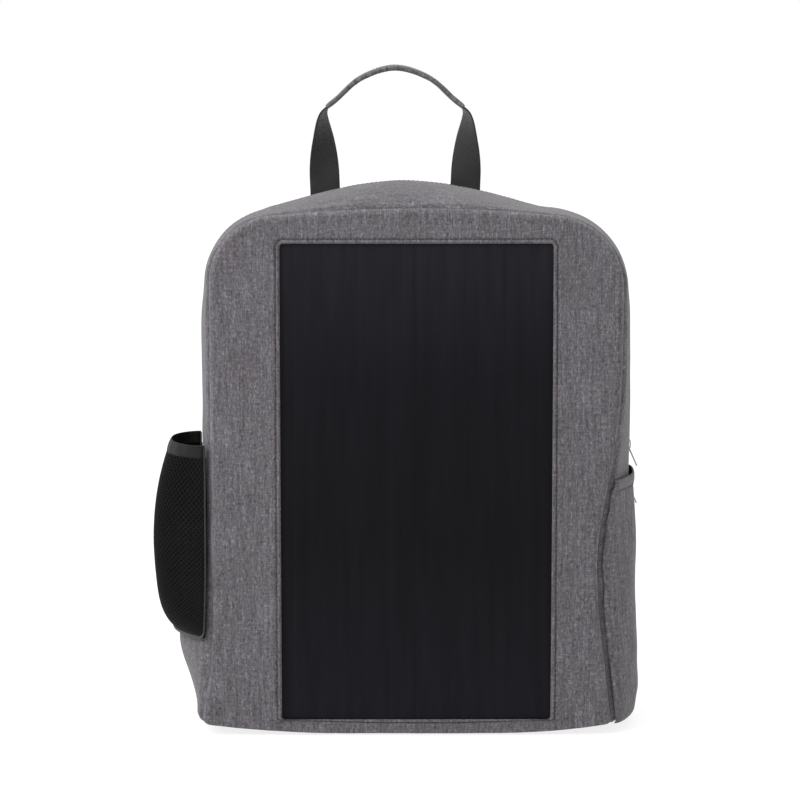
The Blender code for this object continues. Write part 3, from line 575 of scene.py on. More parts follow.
def band_piece(name, path, across, half_width, half_thick, material, offset=0.0, **where):
    points = band_points(path, across, half_width, half_thick, offset)
    shape = rounded_section(float(np.mean(half_width)), half_thick)
    return add_piece(name, band_mesh(name, points, shape, run_of(path)), material, **where)


def band_mesh(name, rings, shape, run):
    """A closed band, whose cloth is laid out by its section's width and the distance along it."""
    weave = pairs(shape[None, :, 0], run[:, None])
    return grid_mesh(name, rings, around=True, weave=weave, caps=True)


def stitches(name, path, out, material, body, pitch=0.0038, length=0.0028, radius=0.00034, lift=0.0002):
    """A row of stitches along a path. Each is a short thread that dips into the cloth at both ends."""
    path, out = np.asarray(path, float), np.broadcast_to(np.asarray(out, float), np.shape(path))
    run = run_of(path)
    centres = np.arange(pitch / 2, run[-1], pitch)
    middle, normal = read_at(centres, run, path), unit(read_at(centres, run, out))
    along = unit(read_at(centres + length / 2, run, path) - read_at(centres - length / 2, run, path))
    side = unit(np.cross(along, normal))
    sides = 6
    turns = np.arange(sides) * 2 * math.pi / sides
    points = []
    for share, size, rise in (
        (-0.5, 0.25, -0.9),
        (-0.34, 0.9, 0.1),
        (0.0, 1.0, 0.5),
        (0.34, 0.9, 0.1),
        (0.5, 0.25, -0.9),
    ):
        ring = middle + along * share * length + normal * (lift + rise * radius)
        for turn in turns:
            points.append(ring + radius * size * (side * math.cos(turn) + normal * math.sin(turn)))
    return add_piece(name, short_tubes(name, np.stack(points, 1), sides), material, body)


def tack(name, corners, out, body):
    """A box of close stitches that holds webbing down."""
    stitches(name, resample(np.array(corners), 80), out, BLACK_THREAD, body, 0.0024, 0.0019, 0.0003)


def crossed_box(half, low, high):
    """A box's outline and one diagonal, as (across, along) corners."""
    return [(-half, low), (half, low), (half, high), (-half, high), (-half, low), (half, high)]


def rounded_plate(name, loop, low, high, axis, material, bevel=0.0005, **where):
    """A plate with the given outline. axis is the index of the direction that low and high are on."""
    bm = bmesh.new()
    others = [k for k in range(3) if k != axis]
    ends = []
    for level in (low, high):
        ring = []
        for point in loop:
            place = [0.0] * 3
            place[axis] = level
            place[others[0]], place[others[1]] = point
            ring.append(bm.verts.new(place))
        ends.append(ring)
    count = len(loop)
    for k in range(count):
        after = (k + 1) % count
        bm.faces.new((ends[0][k], ends[0][after], ends[1][after], ends[1][k]))
    bm.faces.new(ends[0][::-1])
    bm.faces.new(ends[1])
    mesh = mesh_from(bm, name)
    obj = add_piece(name, mesh, material, **where)
    mesh.set_sharp_from_angle(angle=math.radians(50))
    if bevel:
        bevel_edges(obj, bevel, 3, 40)
    return obj


def tube(name, path, radius, material, sides=10, **where):
    path = np.asarray(path, float)
    along = unit(np.gradient(path, axis=0))
    guide = np.array([0.0, 0.0, 1.0]) if abs(along[0][2]) < 0.9 else np.array([0.0, 1.0, 0.0])
    side = unit(np.cross(along, guide))
    up = np.cross(side, along)
    turns = np.arange(sides) * 2 * math.pi / sides
    ring = side[:, None] * np.cos(turns)[None, :, None] + up[:, None] * np.sin(turns)[None, :, None]
    points = path[:, None] + ring * radius
    return add_piece(name, grid_mesh(name, points, around=True, caps=True), material, **where)


# Outlines, as in the CAD.


def rounded_loop(half, low, high, low_radius, high_radius, arch=0.0, lift=0.0, steps=FINE_LOOP):
    """(x, z) points of a rounded rectangle, from the middle of its bottom edge, up its left side."""
    base, low_corner, side, high_corner, top = steps
    foot, shoulder = half - low_radius, half - high_radius
    low_centre, high_centre = low + lift + low_radius, high - arch - high_radius
    left = []
    for x in np.arange(base) * foot / base:
        rise = max(0.0, x - BASE_FLAT) / max(foot - BASE_FLAT, 1e-6)
        left.append((-x, low + lift * rise**2))
    for turn in np.arange(low_corner) * math.pi / 2 / low_corner:
        left.append((-foot - low_radius * math.sin(turn), low_centre - low_radius * math.cos(turn)))
    for share in np.arange(side) / side:
        left.append((-half, low_centre + (high_centre - low_centre) * share))
    for turn in np.arange(high_corner) * math.pi / 2 / high_corner:
        left.append((-shoulder - high_radius * math.cos(turn), high_centre + high_radius * math.sin(turn)))
    for x in shoulder * (1 - np.arange(top + 1) / top):
        left.append((-x, high - arch * (x / shoulder) ** 2))
    return np.array(left + [(-x, z) for x, z in reversed(left[1:-1])])


def outline(inset=0.0):
    low = max(BASE_RADIUS - inset, 0.003)
    halves = [
        rounded_loop(HALF_WIDTH - inset, inset, HEIGHT - inset, low, high - inset, TOP_ARCH, BASE_LIFT)
        for high in TOP_RADII
    ]
    middle = LOOP // 2
    return np.vstack([halves[0][: middle + 1], halves[1][middle + 1 :]])


def with_normals(loop):
    along = unit(np.roll(loop, -1, 0) - np.roll(loop, 1, 0))
    return np.column_stack([loop, -along[:, 1], along[:, 0]])


def dented(x, z, y=-HALF_DEPTH):
    reach = np.where(z > DENT_Z, DENT_REACH[1], DENT_REACH[0])
    depth = DENT * np.exp(-(((z - DENT_Z) / reach) ** 2))
    edge = WINDOW_HALF + FACING_WIDTH
    side = np.clip((x - edge) / (HALF_WIDTH - edge), 0, 1)
    back = np.clip((y + HALF_DEPTH) / DENT_DEPTH, 0, 1)
    left = np.clip((-x - edge) / (HALF_WIDTH - edge), 0, 1)
    flare = LEFT_FLARE * np.exp(-((z / LEFT_FLARE_REACH) ** 2)) * left
    return x - depth * side * (1 - back) ** 2 - flare * (1 - back)


def ease(share):
    share = np.clip(share, 0, 1)
    return share**2 * (3 - 2 * share)


def slump(x, y, nz):
    """How far down a point near a top corner lies from the straight sweep of the seam."""
    return REAR_SLUMP * ease((abs(x) - 0.040) / 0.080) * ease((y + 0.010) / 0.078) * np.maximum(0, nz)


def rear_outline(inset=0.0):
    rim = with_normals(outline(inset))
    return np.column_stack([rim[:, 0], rim[:, 1] - slump(rim[:, 0], HALF_DEPTH, rim[:, 3])])


def swell(y):
    return 1 - (y / HALF_DEPTH) ** 2


def puff(x, z, nx, nz):
    low = LOW_PUFF * np.exp(-(((z - LOW_PUFF_Z) / LOW_PUFF_REACH) ** 2))
    high = np.clip((z - TAPER_FROM) / (HEIGHT - TAPER_FROM), 0, 1)
    side = np.where(x < 0, LEFT_PUFF + low, RIGHT_PUFF) * (1 - 0.8 * high**2 * (3 - 2 * high))
    from_peak = np.hypot(x - CROWN_PEAK, 0.012) - 0.012
    crown = CROWN_PUFF * np.maximum(0, 1 - (from_peak / CROWN_REACH) ** 1.3)
    return side * nx**2 + np.where(nz > 0, crown * nz**2, 0)


def skin(rim, y, inset=0.0):
    """Grid of the bag's outer surface for rim rows (x, z, nx, nz) at depths y."""
    x, z, nx, nz = (rim[:, k : k + 1] for k in range(4))
    y = np.asarray(y, float)[None, :]
    out = puff(x, z, nx, nz) * swell(y)
    across = dented(x, z, y) + nx * (out - inset)
    up = z + nz * (np.where(nz > 0, out, 0) - inset) - slump(x, y, nz)
    return np.stack([across, np.broadcast_to(y, across.shape), up], -1)


def front_y(x, z):
    across = np.maximum(0, 1 - (x / HALF_WIDTH) ** 2)
    along = np.maximum(0, 1 - (2 * z / HEIGHT - 1) ** 2)
    return -HALF_DEPTH - GAP - CLOTH - FRONT_PUFF * across * along


OUTLINE = with_normals(outline())
RIM = OUTLINE[RIM_START : LOOP - RIM_START + 1]
BASE_RIM = np.vstack([OUTLINE[LOOP - RIM_START :], OUTLINE[: RIM_START + 1]])


def rim_above(foot):
    """The rim's rows from that height on the left, over the crown, to that height on the right."""
    kept = RIM[(RIM[:, 1] > foot + 0.002)]
    ends = [[side * HALF_WIDTH, foot, side, 0.0] for side in (-1.0, 1.0)]
    return np.vstack([ends[0], kept, ends[1]])


def rim_out(rim):
    """The outward direction at each rim row."""
    return np.column_stack([rim[:, 2], np.zeros(len(rim)), rim[:, 3]])


# The front.

STITCH_INSET = 0.0036  # from a folded edge to its row of stitches
BAND = (  # (distance from the window's edge, rise) of the turned band, with a groove at its stitches
    (0, -0.0016), (0.0004, 0.0002), (0.0009, 0.0011), (0.0015, 0.0015), (0.0021, 0.0015), (0.0027, 0.0012),
    (0.0032, 0.0001), (STITCH_INSET, -0.0004), (0.0040, 0.0000), (0.0048, 0.0008), (0.0062, 0.0010),
    (0.0085, 0.0007), (0.0105, 0.0004),
)
SEAM = (  # (distance from the front's edge, drop) of the cloth where it rolls into the seam
    (0.012, 0.0), (0.009, -0.0003), (0.0072, -0.0005), (0.0058, -0.0004), (0.0046, 0.0), (0.0037, 0.0006),
    (0.0030, 0.0015), (0.0024, 0.0026), (0.0019, 0.0040), (0.0016, 0.0056), (0.0014, 0.0075),
)
BAND_ROWS, BAND_RISE = np.array(BAND).T
SEAM_ROWS, SEAM_DROP = np.array(SEAM).T
STITCH_ROW = int(np.argmin(abs(BAND_ROWS - STITCH_INSET)))


def make_front():
    window = rounded_loop(WINDOW_HALF, WINDOW_LOW, WINDOW_HIGH, WINDOW_RADIUS, WINDOW_RADIUS)
    outer = outline()
    outer[:, 0] = dented(outer[:, 0], outer[:, 1])
    gap = outer - window
    width = np.linalg.norm(gap, axis=1, keepdims=True)
    near = BAND_ROWS[None] * np.minimum(1, 0.5 * width / BAND_ROWS[-1])
    far = width - SEAM_ROWS[None] * np.minimum(1, 0.35 * width / SEAM_ROWS[0])
    share = np.linspace(0, 1, 14)[None, 1:-1]
    middle = near[:, -1:] + (far[:, :1] - near[:, -1:]) * share
    rows = np.hstack([near, middle, far])
    flat = window[:, None] + gap[:, None] / width[:, None] * rows[:, :, None]
    x, z = flat[..., 0], flat[..., 1]
    scale = near[:, -1:] / BAND_ROWS[-1]
    inner_rise = np.interp(rows / scale, [*BAND_ROWS, 0.016], [*BAND_RISE, 0.0])
    drop = np.hstack([np.zeros((len(x), rows.shape[1] - len(SEAM_ROWS))), np.tile(SEAM_DROP, (len(x), 1))])
    place = pairs(run_of(outer)[:, None], rows)
    seam = np.exp(-(width - rows) / 0.016)
    band = np.exp(-rows / 0.014)
    pucker = wobble(place, 0.011, 1, (1, 0.28, 1)) * (0.00055 * seam + 0.00030 * band)
    inner_mask = np.clip(rows / 0.002, 0, 1)
    broad = wobble(np.stack([x, z], -1), 0.055, 2) * 0.0007 + wobble(np.stack([x, z], -1), 0.022, 3) * 0.00025
    rise = inner_rise - drop + (pucker + broad) * inner_mask
    points = np.stack([x, front_y(x, z) - rise, z], -1)
    mesh = grid_mesh("front_cloth", points, closed=True, weave=np.stack([x, z], -1))
    nodes = ("front_panel", "window_facing")
    cloth = add_piece("front_cloth", mesh, MELANGE, "shell", nodes, "melange_cloth")
    thicken(cloth, 0.0010, LINING)
    line = closed_up(points[:, STITCH_ROW])
    stitches("window_stitching", line, (0, -1, 0), DARK_THREAD, "shell", radius=0.00048, lift=0.0001)

    sunk = outline(FRONT_SEAM)
    sunk[:, 0] = dented(sunk[:, 0], sunk[:, 1])
    valley = np.column_stack([sunk[:, 0], np.full(LOOP, 0.0012 - HALF_DEPTH), sunk[:, 1]])
    # A dark tube along the bottom of the seam's valley: painted shade that darkens the groove between the front
    # and the gusset.
    tube("front_seam_painted_shade", closed_up(valley), 0.0011, SEAM_SHADE, 8, body="shell")
    make_film()


def make_film():
    """The laminate's film, with a shallow groove between its two columns of cells."""
    edge = WINDOW_HALF + FILM_LAP
    xs, zs = np.linspace(-edge, edge, 70), np.linspace(WINDOW_LOW - FILM_LAP, WINDOW_HIGH + FILM_LAP, 110)
    x, z = np.meshgrid(xs, zs, indexing="ij")
    place = np.stack([x, z], -1)
    wave = wobble(place, 0.090, 4) * 0.00012
    groove = 0.00018 * np.exp(-(((x + 0.0022) / 0.0016) ** 2))
    points = np.stack([x, front_y(x, z) + CLOTH + GAP + groove + wave, z], -1)
    mesh = grid_mesh("laminate_film", points, weave=False)
    thicken(add_piece("laminate_film", mesh, FILM, "shell", "solar_cover_film", "solar_film"), 0.0005)


# The gussets and the base.


def seam_inset(distance):
    """How far a cloth's edge rolls in at a plain seam."""
    at = [0, 0.0006, 0.0014, 0.0026, 0.0045, 0.007]
    return np.interp(distance, at, [0.0052, 0.0030, 0.0016, 0.0006, -0.0002, 0])


def fold_inset(distance):
    """A folded edge with a row of stitches behind it."""
    at = [0, 0.0004, 0.0010, 0.0020, 0.0030, STITCH_INSET, 0.0046, 0.0070]
    return np.interp(distance, at, [0.0013, 0.0004, 0, 0, 0.0003, 0.0005, 0.0002, 0])


def depth_rows(front, back, pitch=0.0026):
    """Depths from front to back, closer together near both ends."""
    ends = np.array([0, 0.0004, 0.0009, 0.0015, 0.0022, 0.0030, 0.0038, 0.0048])
    middle = np.linspace(front + 0.0048, back - 0.0048, max(2, int((back - front) / pitch)))
    return np.concatenate([front + ends, middle[1:-1], back - ends[::-1]])


def strip_points(rim, rows, front_profile, back_profile, seed, pucker_front, pucker_back, broad=0.0009):
    """A strip of cloth over the rim, with rolled edges, puckers at its seams and broad soft waves."""
    e, g = rows - rows[0], rows[-1] - rows
    inset = front_profile(e) + back_profile(g)
    points = skin(rim, rows, inset[None, :])
    place = pairs(run_of(rim[:, :2])[:, None], rows[None, :])
    fine = wobble(place, 0.012, seed, (1, 0.30, 1))
    coarse = wobble(place, 0.030, seed + 1, (1, 0.45, 1))
    reach = pucker_front * np.exp(-e / 0.016) + pucker_back * np.exp(-g / 0.010)
    out = fine * reach + coarse * broad * np.clip(np.minimum(e, g) / 0.012, 0, 1)
    out += wobble(points, 0.070, seed + 2) * broad * np.clip(np.minimum(e, g) / 0.02, 0, 1)
    return points + rim_out(rim)[:, None] * out[..., None], place


def add_gusset(name, rim, rows, points, line, body, node):
    """A gusset's cloth, and the row of stitches beside the zip. line is how far in that row is."""
    mesh = grid_mesh(name + "_cloth", points, weave=pairs(rows[None, :], run_of(rim[:, :2])[:, None]))
    thicken(add_piece(name + "_cloth", mesh, MELANGE, body, node, "melange_cloth"), 0.0011, LINING)
    stitched = points[:, np.argmin(abs(line - STITCH_INSET))]
    stitches(name + "_stitching", stitched, rim_out(rim), DARK_THREAD, body)


def make_gussets():
    rim = rim_above(RIM[0][1] + 0.0005)
    rows = depth_rows(-HALF_DEPTH + FRONT_SEAM, ZIP_Y - GUSSET_EDGE)
    points, place = strip_points(rim, rows, seam_inset, fold_inset, 11, 0.0010, 0.0003)
    low = np.exp(-((rim[:, 1:2] - 0.03) / 0.035) ** 2) * (rim[:, :1] < 0)
    crease = wobble(place, 0.016, 15, (1, 0.5, 1)) * low * np.exp(-(rows - rows[0]) / 0.03)[None] * 0.0022
    points[..., 0] -= crease
    add_gusset("gusset", rim, rows, points, rows[-1] - rows, "shell", "gusset")

    rim = rim_above(RIM[0][1] + 0.0020)
    rows = depth_rows(ZIP_Y + GUSSET_EDGE, HALF_DEPTH + 0.0002)
    points, _ = strip_points(rim, rows, fold_inset, seam_inset, 21, 0.0003, 0.0007, 0.0006)
    add_gusset("rear_gusset", rim, rows, points, rows - rows[0], "back", "rear_gusset")
    make_base()


def make_base():
    seam_z = RIM[0][1] + 0.0008
    ends = [[side * HALF_WIDTH, seam_z, side, 0.0] for side in (1.0, -1.0)]
    rim = np.vstack([ends[0], BASE_RIM, ends[1]])
    rows = depth_rows(-HALF_DEPTH + FRONT_SEAM, HALF_DEPTH - 0.003)
    points = skin(rim, rows, seam_inset(rows - rows[0])[None])
    x, y = points[..., 0], points[..., 1]
    lift = np.clip(wobble(np.stack([x, y], -1), 0.05, 31) + 0.2, 0, 1) * 0.0006
    points[..., 2] += lift
    mesh = grid_mesh("base_cloth", points, weave=np.stack([x, y], -1))
    thicken(add_piece("base_cloth", mesh, MELANGE, "shell", "bottom_panel", "melange_cloth"), 0.0012, LINING)


# The zip.


def make_zip():
    rim = rim_above(ZIP_FOOT)
    inset = CLOTH + 3 * GAP
    for side, body, sign in (("front", "shell", -1), ("rear", "back", 1)):
        rows = np.linspace(*sorted((ZIP_Y + sign * 0.0016, ZIP_Y + sign * 0.0115)), 7)
        weave = pairs(rows[None, :], run_of(rim[:, :2])[:, None])
        mesh = grid_mesh("tape", skin(rim, rows, inset), weave=weave)
        node = "zip_tape_" + side
        thicken(add_piece("zip_tape_cloth_" + side, mesh, TAPE_CLOTH, body, node, "black_webbing"), 0.0007)
        make_coil(side, body, sign, rim)
        line = skin(rim, [ZIP_Y + sign * 0.0042], inset)[:, 0]
        stitches("coil_stitching_" + side, line, rim_out(rim), BLACK_THREAD, body, 0.0026, 0.0018, 0.00028)


def make_coil(side, body, sign, rim):
    """The coil's turns, each a flattened loop of monofilament that reaches just past the centre line."""
    pitch, half_along, half_out, sunk = 0.0019, 0.00046, 0.00078, 0.00105
    mid = skin(rim, [ZIP_Y])[:, 0]
    run = run_of(mid)
    where = np.arange(pitch, run[-1] - pitch, pitch) + (pitch / 2 if sign > 0 else 0)
    centre = read_at(where, run, mid)
    out = unit(read_at(where, run, rim_out(rim)))
    along = unit(np.gradient(centre, axis=0))
    deep = np.array([0.0, 1.0, 0.0])
    sides = 8
    turns = np.arange(sides) * 2 * math.pi / sides
    points = []
    for reach, size in ((-0.0006, 0.55), (-0.0002, 1.0), (0.0016, 1.0), (0.0028, 0.9), (0.0031, 0.55)):
        base = centre - out * sunk + deep * sign * reach
        for turn in turns:
            spread = along * half_along * size * math.cos(turn) + out * half_out * size * math.sin(turn)
            points.append(base + spread)
    mesh = short_tubes("zip_coil_" + side, np.stack(points, 1), sides, flip=sign < 0)
    add_piece("zip_coil_" + side, mesh, COIL, body, "zip_teeth_" + side, "black_plastic")


# One side of a slider's plate in (y, z), broad at the head and narrow at the foot.
SHIELD = (
    (0.0022, 0.0065), (0.0040, 0.0052), (0.0045, 0.0040), (0.0045, 0.0022), (0.0036, -0.0010),
    (0.0031, -0.0052), (0.0020, -0.0065),
)
POST = ((-0.0005, 0.001), (0.0005, 0.001), (0.0006, 0.0055), (-0.0006, 0.0055))
# The bridge that the pull hangs on, in (x, z) from the slider's face.
BRIDGE = (
    (0.0010, 0.0044), (0.0030, 0.0043), (0.0043, 0.0028), (0.0046, -0.0006), (0.0042, -0.0040),
    (0.0030, -0.0053), (0.0010, -0.0054),
)


def make_slider(name, height):
    face = HALF_WIDTH + RIGHT_PUFF * swell(ZIP_Y)
    body = name + "_slider"
    shield = [(ZIP_Y + y, height + z) for y, z in SHIELD]
    shield += [(ZIP_Y - y, height + z) for y, z in reversed(SHIELD)]
    where = {"body": body, "replaces": body, "slot": "nickel"}
    rounded_plate(body + "_top", shield, face + 0.0004, face + 0.0017, 0, NICKEL, **where)
    rounded_plate(body + "_under", shield, face - 0.0052, face - 0.0039, 0, NICKEL, body=body)
    # The divider between the plates, in two stubs that leave the coil's turns room to pass.
    post = [(ZIP_Y + y, height + z) for y, z in POST]
    rounded_plate(body + "_post_top", post, face - 0.0001, face + 0.0010, 0, NICKEL, 0.0002, body=body)
    rounded_plate(body + "_post_under", post, face - 0.0045, face - 0.0021, 0, NICKEL, 0.0002, body=body)
    arch = spline([(face + x, ZIP_Y, height + z) for x, z in BRIDGE], 22)
    band_piece(body + "_bridge", arch, (0, 1, 0), 0.0011, 0.0004, NICKEL, body=body)
    make_pull(name, face, height)


def make_pull(name, face, height):
    """The pull tab, with a slot for the slider's bridge and another near its tip, hung at a slant."""
    bar = Vector((face + 0.0030, ZIP_Y, height - 0.0024))
    turn = Matrix.Translation(bar) @ Matrix.Rotation(-PULL_TILT, 4, "Y") @ Matrix.Translation(-bar)
    tip = -PULL_LENGTH
    half = [(0.0036, 0.0004), (0.0037, -0.0050), (0.0030, -0.0075)]
    half += [(0.0034, tip + 0.003), (0.0026, tip + 0.0006)]
    loop = [(bar.y + y, bar.z + z) for y, z in half] + [(bar.y - y, bar.z + z) for y, z in reversed(half)]
    pull = rounded_plate(
        name + "_pull_tab", loop, bar.x - 0.0006, bar.x + 0.0006, 0, NICKEL, 0, body=name + "_pull",
        replaces=name + "_pull", slot="nickel",
    )
    for low, high, wide in ((-0.0062, -0.0006, 0.0024), (tip + 0.0022, tip + 0.0062, 0.0015)):
        cut = hidden_box(bar + Vector((-0.002, -wide, low)), bar + Vector((0.002, wide, high)), 0.0009)
        step = pull.modifiers.new("Hole", "BOOLEAN")
        step.operation, step.object = "DIFFERENCE", cut
    bake_modifiers(pull)
    bevel_edges(pull, 0.00028, 2, 40)
    bake_modifiers(pull)
    pull.data.transform(turn)


def hidden_box(low, high, round_edges):
    bm = bmesh.new()
    bmesh.ops.create_cube(bm, size=1)
    bmesh.ops.scale(bm, vec=high - low, verts=bm.verts)
    bmesh.ops.translate(bm, vec=(high + low) / 2, verts=bm.verts)
    through = [e for e in bm.edges if abs((e.verts[0].co - e.verts[1].co).normalized().x) > 0.9]
    bmesh.ops.bevel(bm, geom=through, offset=round_edges, segments=3, affect="EDGES", profile=0.5)
    mesh = bpy.data.meshes.new("cutter")
    bm.to_mesh(mesh)
    bm.free()
    obj = bpy.data.objects.new("cutter", mesh)
    bpy.context.scene.collection.objects.link(obj)
    return obj


def bake_modifiers(obj):
    """Applies the modifiers, then removes the cutters they used."""
    cutters = [m.object for m in obj.modifiers if m.type == "BOOLEAN"]
    graph = bpy.context.evaluated_depsgraph_get()
    mesh = bpy.data.meshes.new_from_object(obj.evaluated_get(graph))
    obj.modifiers.clear()
    obj.data = mesh
    for cutter in cutters:
        bpy.data.objects.remove(cutter)


# Pockets.


def mesh_depth(z):
    low = MESH_DEPTH * np.maximum(0, 1 - ((MESH_DEEPEST - z) / 0.082) ** 2) ** 0.75
    high = MESH_DEPTH - 0.016 * ((z - MESH_DEEPEST) / 0.080) ** 2
    return np.where(z < MESH_DEEPEST, low, high)


def across_pocket(share):
    return np.maximum(0, 1 - abs(2 * share - 1) ** 2.4) ** 0.55


def side_x(z, y, side):
    """The bag's outer surface on one side, as x."""
    z, y = np.broadcast_arrays(np.asarray(z, float), np.asarray(y, float))
    rim_x = np.full_like(z, side * HALF_WIDTH)
    out = puff(rim_x, z, np.full_like(z, side), np.zeros_like(z)) * swell(y)
    return dented(rim_x, z, y) + side * out


def net_point(share, z, lift=0.0):
    y = POCKET_BACK + (POCKET_FRONT - POCKET_BACK) * share
    x = side_x(z, y, -1.0) - (0.002 + lift + mesh_depth(z) * across_pocket(share))
    return np.stack(np.broadcast_arrays(x, y, z), -1)


def make_mesh_pocket():
    share = 0.5 - 0.5 * np.cos(np.linspace(0, math.pi, 60))
    z = MESH_LOW + (MESH_HIGH - MESH_LOW) * (1 - np.cos(np.linspace(0, math.pi / 2, 60)))
    points = net_point(share[:, None], z[None, :], -0.0005)
    points[..., 0] -= wobble(points, 0.03, 41) * 0.0008
    mesh = grid_mesh("backing", points)
    thicken(add_piece("mesh_pocket_backing", mesh, NET_BACKING, "shell", "mesh_pocket", "black_mesh"), 0.0006)
    make_net()
    make_pocket_edges()


def make_net():
    """A net of diamonds over the backing: each face is a hole, and each edge a strand."""
    wide, tall = 30, 46
    bm = bmesh.new()
    spots = {}

    def spot(i, j):
        if (i, j) not in spots:
            u = 0.5 - 0.5 * math.cos(math.pi * i / (2 * wide))
            v = MESH_LOW + (MESH_HIGH - MESH_LOW) * (1 - math.cos(math.pi / 2 * j / (2 * tall)))
            place = net_point(np.array(u), np.array(v), 0.0002)
            spots[i, j] = bm.verts.new(place.tolist())
        return spots[i, j]

    for i in range(2 * wide - 1):
        for j in range(2 * tall - 1):
            if (i + j) % 2 == 0:
                bm.faces.new((spot(i, j + 1), spot(i + 1, j), spot(i + 2, j + 1), spot(i + 1, j + 2)))
    net = add_piece("mesh_pocket_net", mesh_from(bm, "net"), NET, "shell")
    strands = net.modifiers.new("Strands", "WIREFRAME")
    strands.thickness, strands.use_even_offset, strands.use_boundary = 0.0009, False, True


def make_pocket_edges():
    """The elastic mouth, and the bound edge down both sides and round the foot."""
    share = np.linspace(0, 1, 150)
    heights = MESH_HIGH - 0.0005 + np.linspace(0, BAND_HEIGHT + 0.0008, 9)
    points = net_point(share[:, None], heights[None, :], 0.0006)
    gather = wobble(points, 0.008, 42, (1, 1, 0.3)) * 0.0006
    curve = 0.0005 * np.sin(np.linspace(0, math.pi, 9))[None, :]
    points[..., 0] -= gather + curve
    weave = pairs(lengths(points, 0)[:, None], (heights - heights[0])[None, :])
    mesh = grid_mesh("elastic", points, weave=weave)
    thicken(add_piece("pocket_elastic", mesh, ELASTIC, "shell", "mesh_pocket_band", "black_webbing"), 0.0021)

    tall, wide = 50, 40
    down = np.linspace(MESH_HIGH + BAND_HEIGHT - 0.001, MESH_LOW + 0.001, tall)
    back = net_point(np.zeros(tall), down, 0.0006)
    foot = net_point(np.linspace(0, 1, wide), np.full(wide, MESH_LOW), 0.0006)
    front = net_point(np.ones(tall), down[::-1], 0.0006)
    path = np.vstack([back, foot[1:-1], front])
    across = np.repeat([(0, 1, 0), (0, 0, -1), (0, -1, 0)], (tall, wide - 2, tall), axis=0)
    band_piece("pocket_binding", smooth(path, 3), smooth(across, 5), 0.0022, 0.0006, BINDING, body="shell")


def smooth(values, times):
    values = np.asarray(values, float).copy()
    for _ in range(times):
        values[1:-1] = (values[:-2] + 2 * values[1:-1] + values[2:]) / 4
    return values


def make_side_pocket():
    def place(share, z):
        y = POCKET_FRONT + (POCKET_BACK - POCKET_FRONT) * share
        height = (z - SIDE_LOW) / (SIDE_HIGH - SIDE_LOW)
        low, high = SIDE_DEPTHS
        depth = (low + (high - low) * np.minimum(1, height)) * np.minimum(1, 0.45 + 5 * np.maximum(height, 0))
        x = side_x(z, y, 1.0) + 0.0024 + depth * across_pocket(share)
        return np.stack(np.broadcast_arrays(x, y, z), -1)

    share = np.concatenate([[0, 0.006, 0.015, 0.03], np.linspace(0.05, 0.95, 44), [0.97, 0.985, 0.994, 1.0]])
    top = SIDE_HIGH + GAP + HEM_HEIGHT
    foot_rows = np.linspace(SIDE_LOW, SIDE_LOW + 0.004, 6)
    face_rows = np.linspace(SIDE_LOW + 0.006, SIDE_HIGH - 0.001, 70)
    fold_rows = SIDE_HIGH + np.array([0.0002, 0.0011, 0.002, 0.004])
    z = np.concatenate([foot_rows, face_rows, fold_rows, top - np.array([0.003, 0.0015, 0.0006, 0])])
    points = place(share[:, None], z[None, :])
    flat = pairs(share[:, None] * POCKET_CLOTH, z[None, :])
    edge = np.minimum(share, 1 - share)[:, None] * POCKET_CLOTH
    foot = (z - SIDE_LOW)[None, :]
    at = SIDE_HIGH + np.array([-0.002, 0, 0.0011, 0.002, 0.004])
    at = np.append(at, top - np.array([0.002, 0.0006, 0]))
    hem = np.interp(z, at, [0, -0.0004, -0.0004, 0.0006, 0.0010, 0.0010, 0.0006, -0.0004])
    pucker = wobble(flat, 0.012, 51, (0.35, 1, 1)) * 0.0009 * np.exp(-edge / 0.012)
    inside = np.clip(edge / 0.015, 0, 1) * np.clip(foot / 0.02, 0, 1)
    folds = wobble(flat, 0.034, 52, (1.4, 0.6, 1)) * 0.0018 * inside
    low = wobble(flat, 0.020, 53, (0.8, 1, 1)) * 0.0014 * np.exp(-foot / 0.05) * np.clip(edge / 0.006, 0, 1)
    tuck = 0.0016 * np.exp(-edge / 0.0009) + 0.0016 * np.exp(-foot / 0.0012)
    loose = np.clip((top - z) / 0.01, 0.25, 1)[None, :]
    points[..., 0] += hem[None, :] + (pucker + folds + low) * loose - tuck
    mesh = grid_mesh("side_pocket_cloth", points, weave=flat)
    nodes = ("side_pocket", "side_pocket_hem")
    thicken(add_piece("side_pocket_cloth", mesh, MELANGE, "shell", nodes, "melange_cloth"), 0.0011, LINING)
    row = np.argmin(abs(z - SIDE_HIGH - 0.0006))
    stitches("side_pocket_hem_stitching", points[3:-3, row], (1, 0, 0), DARK_THREAD, "shell")


# Padded pieces.


